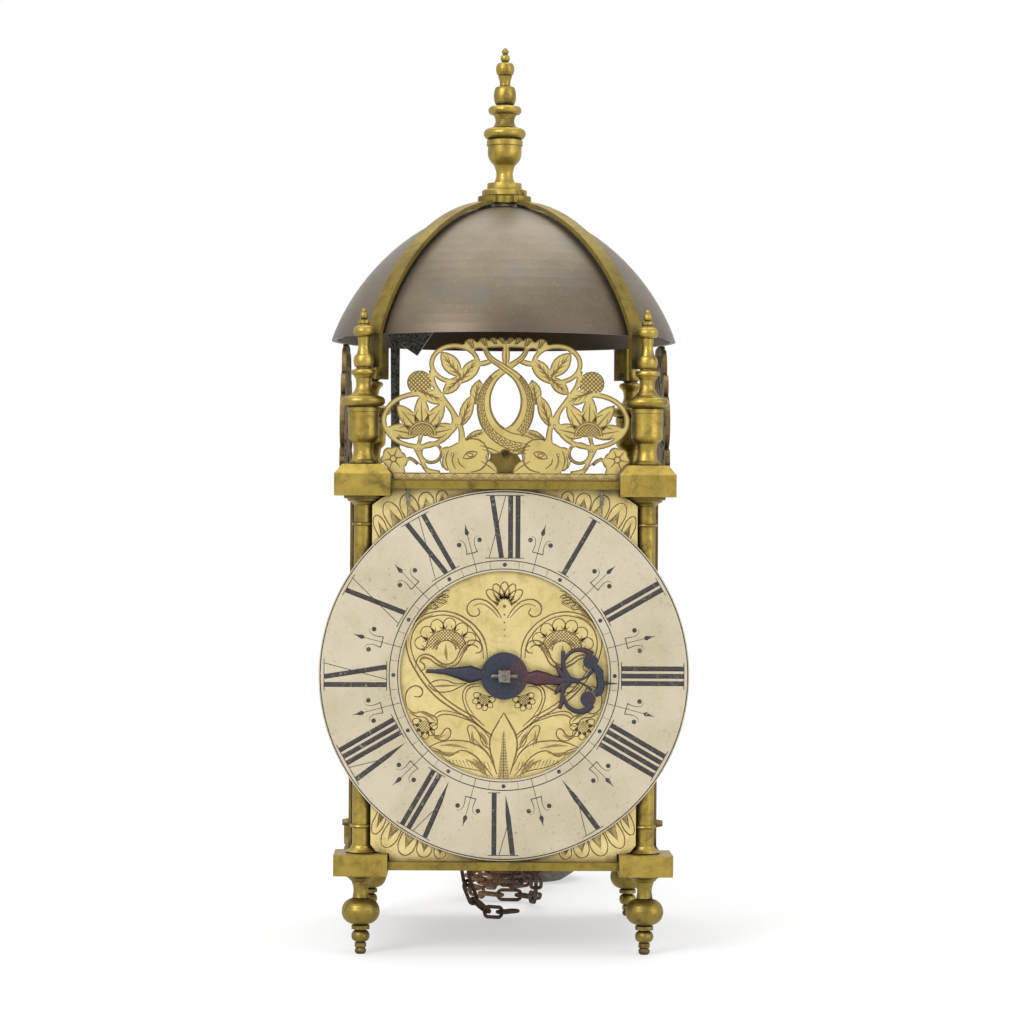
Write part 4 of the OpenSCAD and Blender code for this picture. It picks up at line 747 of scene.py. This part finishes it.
def leftFlowers():
    # the large flower, the two small ones and the shading under the turned leaves
    lines = []
    for turn in bigFlower["turns"]:
        lines += flowerPetal(bigFlower, turn)
    for radius in bigFlower["rings"]:
        lines.append(halfRing(bigFlower["middle"], radius, bigFlower["ringHalf"], 15))
    for turn in smallTurns:
        for flower in smallFlowers:
            lines += flowerPetal(flower, turn)
    lines += flowerHeart(bigFlower, bigFlower["hatchLow"], bigFlower["hatchSkip"])
    for flower in smallFlowers:
        lines += flowerHeart(flower)
    lines += hatched(topLeaf["middle"], topLeaf["reach"], topLeaf["pitch"], topLeaf["hatch"],
                     angles=(topLeaf["angle"],))
    for k in range(leafShading["strokes"]):
        for start, end, startMove, endMove, halves in leafShading["rows"]:
            lines.append([(start[0] + startMove[0] * k, start[1] + startMove[1] * k, halves[0]),
                          (end[0] + endMove[0] * k, end[1] + endMove[1] * k, halves[1])])
    return lines


def middleLeaf():
    # its rib, hatched wider towards the foot
    lines = []
    for k in range(middleRib["rows"]):
        y = middleRib["top"] - middleRib["step"] * k
        reach = middleRib["reach"] + middleRib["spread"] * k
        lines.append([(-reach, y, middleRib["half"]), (reach, y, middleRib["half"])])
    lines.append(list(middleRib["line"]))
    return lines


def dialEngraving():
    lines = mirrored(penned(dialScrolls))
    lines += mirrored(leftFlowers())
    lines += middleLeaf()
    for turn in topFan["turns"]:
        lines += flowerPetal(topFan, turn)
    corner = mirrored([line for leaf in cornerLeaves for line in leafBlade(*leaf)])
    lines += corner + [[(x, -y, w) for x, y, w in line] for line in corner]
    place = frontFace(dial["plateFace"], dial["centre"])
    shades = moved(mirrored([list(line) for line in dialShades]), (0, 0), cut["dialWiden"])
    # painted highlights: a lighter copy of every line, shifted right and down, along one edge of each cut
    paintedHighlights = moved(lines, cut["highlightShift"], cut["highlightShare"])
    for name, marks, height, material in (("dial_shades", shades, cut["shadeHeight"], foldShade),
                                          ("dial_engraving_burr", paintedHighlights, cut["highlightHeight"], cutHighlight)):
        strokes(name, marks, [], place, height, material, steps=3)
    cutStrokes("dial_engraving", lines, stemDots, place, cut["height"], cut["dialWiden"], engraved)


dialEngraving()

# Edges of the plate's tongues, across and up in millimetres
tongues = {
    "face": -0.0652, "lift": 0.02, "thick": 1.3,
    "low": ((-56.8, 47.3), (-54.6, 44.4), (-52, 43.6), (-48.6, 43.6), (-48.6, 47.3)),
    "high": ((-56.8, 192.4), (-56.5, 193), (-53.2, 195.5), (-51, 196.5), (-48.6, 196.6), (-48.6, 192.4)),
}


def flatPlate(name, outlines, thick):
    # closed outlines filled and given a thickness backwards from the face; an inner outline is a hole
    data = bpy.data.curves.new(name, "CURVE")
    data.dimensions = "2D"
    data.fill_mode = "BOTH"
    data.extrude = thick / 2
    for outline in outlines:
        spline = data.splines.new("POLY")
        spline.points.add(len(outline) - 1)
        for point, (across, up) in zip(spline.points, outline):
            point.co = (across, up, -thick / 2, 1)
        spline.use_cyclic_u = True
    scratch = bpy.data.objects.new(name + "_lines", data)
    bpy.context.scene.collection.objects.link(scratch)
    mesh = bpy.data.meshes.new_from_object(scratch.evaluated_get(bpy.context.evaluated_depsgraph_get()))
    bpy.data.objects.remove(scratch)
    return mesh


def platePiece(name, mesh, place, material, body, more=None):
    # the plate, with the mesh of more added to it, as one piece
    shape = bmesh.new()
    shape.from_mesh(mesh)
    bmesh.ops.transform(shape, matrix=place, verts=shape.verts)
    bmesh.ops.remove_doubles(shape, verts=shape.verts, dist=1e-6)
    if more:
        shape.from_mesh(more)
    bmesh.ops.recalc_face_normals(shape, faces=shape.faces)
    shape.to_mesh(mesh)
    shape.free()
    mesh.materials.clear()
    mesh.materials.append(material)
    piece = bpy.data.objects.new(name, mesh)
    bpy.context.scene.collection.objects.link(piece)
    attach(piece, body)
    return piece


def dialTongues():
    # the dial plate reaches round the caps and bases of the front pillars
    outlines = [[(x * side, y) for x, y in tongues[key]] for key in ("low", "high") for side in (-1, 1)]
    place = frontFace(tongues["face"] - tongues["lift"] * mm, 0)
    mesh = flatPlate("dial_plate_tongues", outlines, tongues["thick"])
    platePiece("dial_plate_tongues", mesh, place, dialBrass, "frame")


dialTongues()

# Hand: rows of (x, y, half width) from its arbor, in millimetres
hand = {
    "disc": 10.1, "turns": 64, "square": 2.55, "thick": 1.2,
    "discs": ((36.8, 6.3, 3.2), (35.8, -9.8, 3.3), (40.6, 1.7, 1.9), (40.5, -6.6, 1.85)),
    "lines": (
        # short arm, long arm up to the crossing
        ((-9, 0.4, 2), (-11.6, 0.5, 2.9), (-14.6, 0.65, 3.8), (-20, 1.25, 2.45), (-25, 1.65, 1.35),
         (-30, 1.8, 0.85), (-33.4, 1.9, 0.85)),
        ((9, -0.8, 1.9), (11, -0.85, 2.6), (14, -0.85, 3.5), (17.5, -1.1, 2.7), (21, -1.7, 2.1),
         (25, -2, 1.9), (29, -1.8, 1.4), (31.5, -1.9, 0.9)),
        # upper blade, its side leaf and the upper loop
        ((28, -1.4, 1.2), (26.2, 1, 1.2), (25.2, 4.5, 1), (25.2, 8, 1.05), (25, 10.9, 0.75)),
        ((26.5, -1, 1.2), (24.4, 1, 1.35), (23, 3.2, 0.9), (22, 5, 0.4)),
        ((25.6, 7, 0.8), (27.3, 9.3, 0.8), (29.5, 10.8, 0.85), (32.2, 11.3, 0.95), (35, 10.8, 1.2),
         (37.5, 9, 1.6)),
        # lower blade, its side leaf and the lower loop
        ((28, -2.6, 1.3), (25.9, -4.4, 1.3), (24.9, -7.5, 0.85), (24.6, -11, 0.95), (23.7, -14, 0.8)),
        ((26, -3.4, 1.2), (24, -4.9, 1.3), (22.7, -6.4, 0.95), (21.6, -7.8, 0.4)),
        ((25.1, -8.5, 0.9), (26.3, -11.6, 0.85), (28.8, -14.1, 0.95), (32, -15.1, 1.1), (35.2, -14.3, 1.4),
         (37.6, -12, 1.5)),
        # crossed bands, the lobed end and the pointer
        ((29, -1.9, 1), (33, -1.3, 0.55), (35.6, 0.2, 0.6), (37.6, 2.4, 1)),
        ((29, -1.9, 1), (32.5, -2.8, 0.5), (35.2, -4.2, 0.5), (37.6, -6, 0.7)),
        ((38, 4.5, 1.6), (40.4, 1.8, 1.8), (40.9, -1.2, 1.6), (41.2, -3.3, 1.7), (40.6, -6.3, 1.7),
         (38.6, -7.6, 1.5)),
        ((42, -2.8, 1), (45, -3, 0.45), (48.4, -3.1, 0.2)),
    ),
}


def hourHand():
    # the plate round the square of the arbor, with the wrought arms joined to it
    low, high = [corner.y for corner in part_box("hour_hand")]
    angles = [2 * math.pi * i / hand["turns"] for i in range(hand["turns"])]
    rim = [(hand["disc"] * math.cos(a), hand["disc"] * math.sin(a)) for a in angles]
    q = hand["square"]
    mesh = flatPlate("hour_hand_wrought", [rim, [(-q, -q), (q, -q), (q, q), (-q, q)]], hand["thick"])
    face, middle = frontFace(low, dial["centre"]), frontFace((low + high) / 2, dial["centre"])
    arms = strokes("hour_hand_arms", hand["lines"], hand["discs"], middle, hand["thick"] / 2, blued,
                   "hand", 8, True)
    piece = platePiece("hour_hand_wrought", mesh, face, blued, "hand", arms.data)
    bpy.data.objects.remove(arms)
    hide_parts("hour_hand")


hourHand()

fretLines = [
    (0.16, ((-18.1, 9.8), (-16.4, 12.2), (-13.6, 12.6), (-12, 12.2))),
    (0.16, ((-18.1, 9.8), (-15.6, 9.6), (-13.2, 10.6), (-12, 12.2))),
    (0.13, ((-16.6, 11.2), (-15, 11.9), (-13.9, 11.2), (-15, 10.3), (-16.6, 11.2))),
    (0.17, ((-17.2, 17.8), (-11.6, 17.8), (-7.8, 13.8), (-7.6, 9), (-10.4, 5), (-14.8, 3.8))),
    (0.15, ((-20.4, 9.8), (-19.6, 7.4), (-17.2, 5.4))),
    (0.16, ((-27.1, 13), (-27.9, 9), (-26.7, 5.4))),
    (0.16, ((-24.4, 13), (-25.6, 9), (-24.4, 5))),
    (0.16, ((-22, 11.8), (-22.8, 8.6), (-21.2, 5))),
    (0.14, ((-10.6, 8.6), (-7, 6.4), (-4.2, 4.2))),
    (0.14, ((-10.8, 15.2), (-6.6, 14), (-2.4, 12.2))),
    (0.12, ((-10, 13.6), (-7, 12.8), (-4.6, 11.4))),
    (0.12, ((-39.4, 9.6), (-36.8, 7.2), (-33.6, 4.9))),
]
# One body's middle line from the tail: (x, y, half width), and its scales counted along that line
dolphin = [(9.4, 57.6, 1), (6.7, 52.8, 1.2), (0.3, 48.4, 1.5), (-5.3, 44, 2), (-9, 36.9, 2.8),
           (-8.9, 28.9, 3.3), (-5.3, 21.9, 3.8), (1.1, 17.6, 4.2), (8.8, 15.6, 4.4), (15, 12.4, 4)]
scales = {"from": 3, "step": 0.145, "wide": 0.26, "edge": 0.82}


def alongPath(points, at):
    # a smooth course through the points: place, heading and half width
    i = min(len(points) - 2, int(at))
    t = at - i
    a, b, c, d = (points[max(0, min(len(points) - 1, i + k))] for k in (-1, 0, 1, 2))

    def smooth(k):
        return 0.5 * (2 * b[k] + (c[k] - a[k]) * t + (2 * a[k] - 5 * b[k] + 4 * c[k] - d[k]) * t * t
                      + (3 * b[k] - a[k] - 3 * c[k] + d[k]) * t ** 3)

    def slope(k):
        return 0.5 * ((c[k] - a[k]) + 2 * (2 * a[k] - 5 * b[k] + 4 * c[k] - d[k]) * t
                      + 3 * (3 * b[k] - a[k] - 3 * c[k] + d[k]) * t * t)

    return Vector((smooth(0), smooth(1))), Vector((slope(0), slope(1))).normalized(), smooth(2)


def dolphinBody(flip, runs):
    # edge lines and rows of scales along the shown stretches of one body
    lines = []

    def at(t, share):
        place, way, half = alongPath(dolphin, t)
        q = place + Vector((way.y, -way.x)) * half * share
        return (-q.x if flip else q.x), q.y

    wide, edge = scales["wide"], scales["edge"]
    for start, end in runs:
        count = int((end - start) * 4)
        for share, width in ((edge, 0.13), (-edge, 0.13), (-0.05, 0.09)):
            lines.append([(*at(start + (end - start) * i / count, share), width) for i in range(count + 1)])
        first = max(start, scales["from"])
        for row in range(int((end - first) / scales["step"])):
            t = first + scales["step"] * row
            shift = wide / 2 if row % 2 else 0
            for k in range(3):
                low = 0.02 + wide * k + shift
                if low + wide > edge:
                    continue
                lines.append([(*at(t, low), 0.09), (*at(t + 0.12, low + wide / 2), 0.11),
                              (*at(t, low + wide), 0.09)])
    return lines


# Leaves of the fret: root, tip and width
fretLeaves = [((-19, 44.4), (-28, 55.4), 7.4), ((-19.6, 42.6), (-11.6, 52.6), 6),
              ((-18.6, 44.8), (-27.2, 37), 5.6), ((-19.2, 23), (-14.4, 37), 5.8),
              ((-13.2, 32.6), (-11.2, 43.6), 6.4), ((-37, 38.6), (-25.6, 33.4), 6),
              ((-17.6, 17.4), (-7.6, 21.8), 4.2)]
# Flowers, bodies and foot of the fret, and the faces that carry the drawing
fret = {
    "flower": (-35.6, 19.4), "flowerSize": 5, "flowerHalf": 0.15,
    "tips": [(-14.9, 2.6), (-10.6, 12.4), (-0.6, 16.6), (9, 13), (14.6, 3.2)], "hollow": (6.4, 9.6),
    "berry": (-36.9, 42), "berryReach": (5, 4.8), "berryPitch": 1.25, "berryHatch": 0.12, "berryLow": -4,
    "rosette": (-48, 9.4), "rosetteEye": 1.3, "rosettePetals": 6, "rosetteReach": (1.6, 4.6),
    "crest": ((-15.2, 58.2, 2.9), (-9.6, 59, 2.5), (-5.4, 59.6, 2), (-2, 59.8, 1.8)),
    "overRuns": [(0.2, 1.4), (2.7, 8.2)], "underRuns": [(0.2, 6.1)],
    "crossing": ((0, 49.5, 0.16), (0.1, 54, 0.13), (0, 59, 0.05)),
    "zigzags": 17, "zigzagReach": 46, "zigzagTop": 3.1, "zigzagFoot": 0.5, "zigzagInset": 1.1,
    "footLine": ((-47.8, 3.25, 0.09), (47.8, 3.25, 0.09)), "foot": 203.2,
    "faces": (("front", 0, 66), ("left", -90, 71.6), ("right", 90, 71.6)),
}


def veins(base, tip, width):
    # midrib, side veins and a dark root
    root, point = Vector(base), Vector(tip)
    along = point - root
    side = Vector((-along.y, along.x)).normalized() * width / 2

    def at(share, lean):
        q = root + along * share + side * lean
        return q.x, q.y

    lines = [[(*at(0.05, 0), 0.3), (*at(0.5, 0.06), 0.18), (*at(0.88, 0), 0.05)]]
    for share in (0.18, 0.38, 0.58):
        for lean in (-1, 1):
            lines.append([(*at(share, 0.08 * lean), 0.13),
                          (*at(share + 0.2, 0.62 * lean * (1.1 - share)), 0.04)])
    return lines


def ray(centre, way, reach, halves):
    # one tapering line outwards from a flower's middle
    start, end = (Vector(centre) + way * r for r in reach)
    return [(start.x, start.y, halves[0]), (end.x, end.y, halves[1])]


def zigzag():
    # along the foot, with inner triangles
    lines = []
    reach, inset = fret["zigzagReach"], fret["zigzagInset"]
    step = 2 * reach / fret["zigzags"]
    for i in range(fret["zigzags"]):
        x = -reach + 2 * reach * i / fret["zigzags"]
        for inner in (0, inset):
            top = (x + step / 2, fret["zigzagTop"] - inner * 1.1, 0.06)
            lines.append([(x + inner, fret["zigzagFoot"], 0.06), top])
            lines.append([top, (x + step - inner, fret["zigzagFoot"], 0.06)])
    return lines


def fretDrawing():
    half = penned(fretLines)
    tips = fret["tips"]
    half += sunflower(fret["flower"], fret["flowerSize"], fret["flowerHalf"], tips)
    for first, second in zip(tips, tips[1:]):  # dark hollows between the petals
        way = (Vector(first).normalized() + Vector(second).normalized()).normalized()
        half.append(ray(fret["flower"], way, fret["hollow"], (0.55, 0.08)))
    half += hatched(fret["berry"], fret["berryReach"], fret["berryPitch"], fret["berryHatch"],
                    fret["berryLow"])
    for leaf in fretLeaves:
        half += veins(*leaf)
    x, y = fret["rosette"]
    for i in range(fret["rosettePetals"]):
        a = math.radians(360 / fret["rosettePetals"] * i + 10)
        half.append(ray((x, y), Vector((math.cos(a), math.sin(a))), fret["rosetteReach"], (0.16, 0.06)))
    eye = fret["rosetteEye"]
    half.append([(x + eye * math.cos(a / 2), y + eye * math.sin(a / 2), 0.14) for a in range(14)])
    for x, y, reach in fret["crest"]:
        for lean in (-0.5, 0, 0.5):
            half.append([(x + 1.2 + lean, y - reach * 0.5, 0.1),
                         (x + lean * 2.2 - 0.4, y + reach * 0.62, 0.14)])
    lines = mirrored(half) + dolphinBody(False, fret["overRuns"]) + dolphinBody(True, fret["underRuns"])
    return lines + [list(fret["crossing"])] + zigzag() + [list(fret["footLine"])]


def engraveFrets():
    lines = fretDrawing()
    for name, turn, face in fret["faces"]:
        place = Matrix.Rotation(math.radians(turn), 4, "Z") @ frontFace(-face * mm, fret["foot"] * mm)
        material = fretCut if name == "front" else engraved
        cutStrokes("fret_engraving_" + name, lines, [], place, cut["height"], cut["fretWiden"], material, 2)


engraveFrets()


# Studio: white floor and backdrop, and soft lamps as watts, size and place

studio = {
    "floor": 6, "floorColour": (0.86, 0.86, 0.86, 1), "floorGlow": 0.5, "shadeReach": 0.3, "fadeReach": 0.5,
    "world": 0.75, "aim": (0, 0, 0.2),
    "lamps": {"key": (26, 0.9, (-1.1, -1.5, 1.3)), "fill": (12, 1.2, (1.6, -1.2, 0.7)),
              "top": (16, 1.4, (0, 0.3, 1.7))},
}


def lamp(name, watts, size, place):
    data = bpy.data.lights.new(name, "AREA")
    data.energy = watts
    data.size = size
    seat = bpy.data.objects.new(name, data)
    seat.location = place
    seat.rotation_euler = (Vector(studio["aim"]) - Vector(place)).to_track_quat("-Z", "Y").to_euler()
    bpy.context.scene.collection.objects.link(seat)


def buildStudio():
    shape = bmesh.new()
    bmesh.ops.create_grid(shape, x_segments=1, y_segments=1, size=studio["floor"])
    bmesh.ops.translate(shape, verts=shape.verts, vec=(0, 2, 0))
    mesh = bpy.data.meshes.new("floor")
    shape.to_mesh(mesh)
    shape.free()
    floor = bpy.data.objects.new("floor", mesh)
    bpy.context.scene.collection.objects.link(floor)
    paint = Paint("floorWhite")
    tree = paint.tree
    paint.shader.inputs["Base Color"].default_value = studio["floorColour"]
    paint.shader.inputs["Roughness"].default_value = 0.9
    glow = paint.node("Emission", {}, {"Color": (1, 1, 1, 1), "Strength": 1.0})
    seen = paint.node("LightPath", {}, {}, "Is Camera Ray")
    for ray in ("Is Glossy Ray", "Is Transmission Ray"):
        other = paint.node("LightPath", {}, {}, ray)
        seen = paint.node("Math", {"operation": "MAXIMUM"}, {0: seen, 1: other})
    away = paint.node("VectorMath", {"operation": "LENGTH"}, {0: paint.place}, "Value")
    faded = ((away - studio["shadeReach"]) / studio["fadeReach"]).clamp()
    share = faded * (1 - studio["floorGlow"]) + studio["floorGlow"]
    mixed = paint.node("MixShader", {}, {0: seen * share, 1: Wire(paint, paint.shader.outputs[0]), 2: glow})
    tree.links.new(mixed.socket, tree.nodes["Material Output"].inputs["Surface"])
    mesh.materials.append(paint.material)

    world = bpy.data.worlds.new("studio")
    world.use_nodes = True
    bpy.context.scene.world = world
    sky = world.node_tree
    back = sky.nodes["Background"]
    path = sky.nodes.new("ShaderNodeLightPath")
    seen = path.outputs["Is Camera Ray"]
    for ray in ("Is Glossy Ray", "Is Transmission Ray"):
        either = sky.nodes.new("ShaderNodeMath")
        either.operation = "MAXIMUM"
        sky.links.new(seen, either.inputs[0])
        sky.links.new(path.outputs[ray], either.inputs[1])
        seen = either.outputs[0]
    level = sky.nodes.new("ShaderNodeMapRange")
    level.inputs["To Min"].default_value = studio["world"]
    level.inputs["To Max"].default_value = 1.0
    sky.links.new(seen, level.inputs["Value"])
    sky.links.new(level.outputs[0], back.inputs["Strength"])
    back.inputs["Color"].default_value = (1, 1, 1, 1)

    for name, (watts, size, place) in studio["lamps"].items():
        lamp(name, watts, size, place)
    bpy.context.scene.view_settings.view_transform = "Standard"
    print("studio ready")


buildStudio()
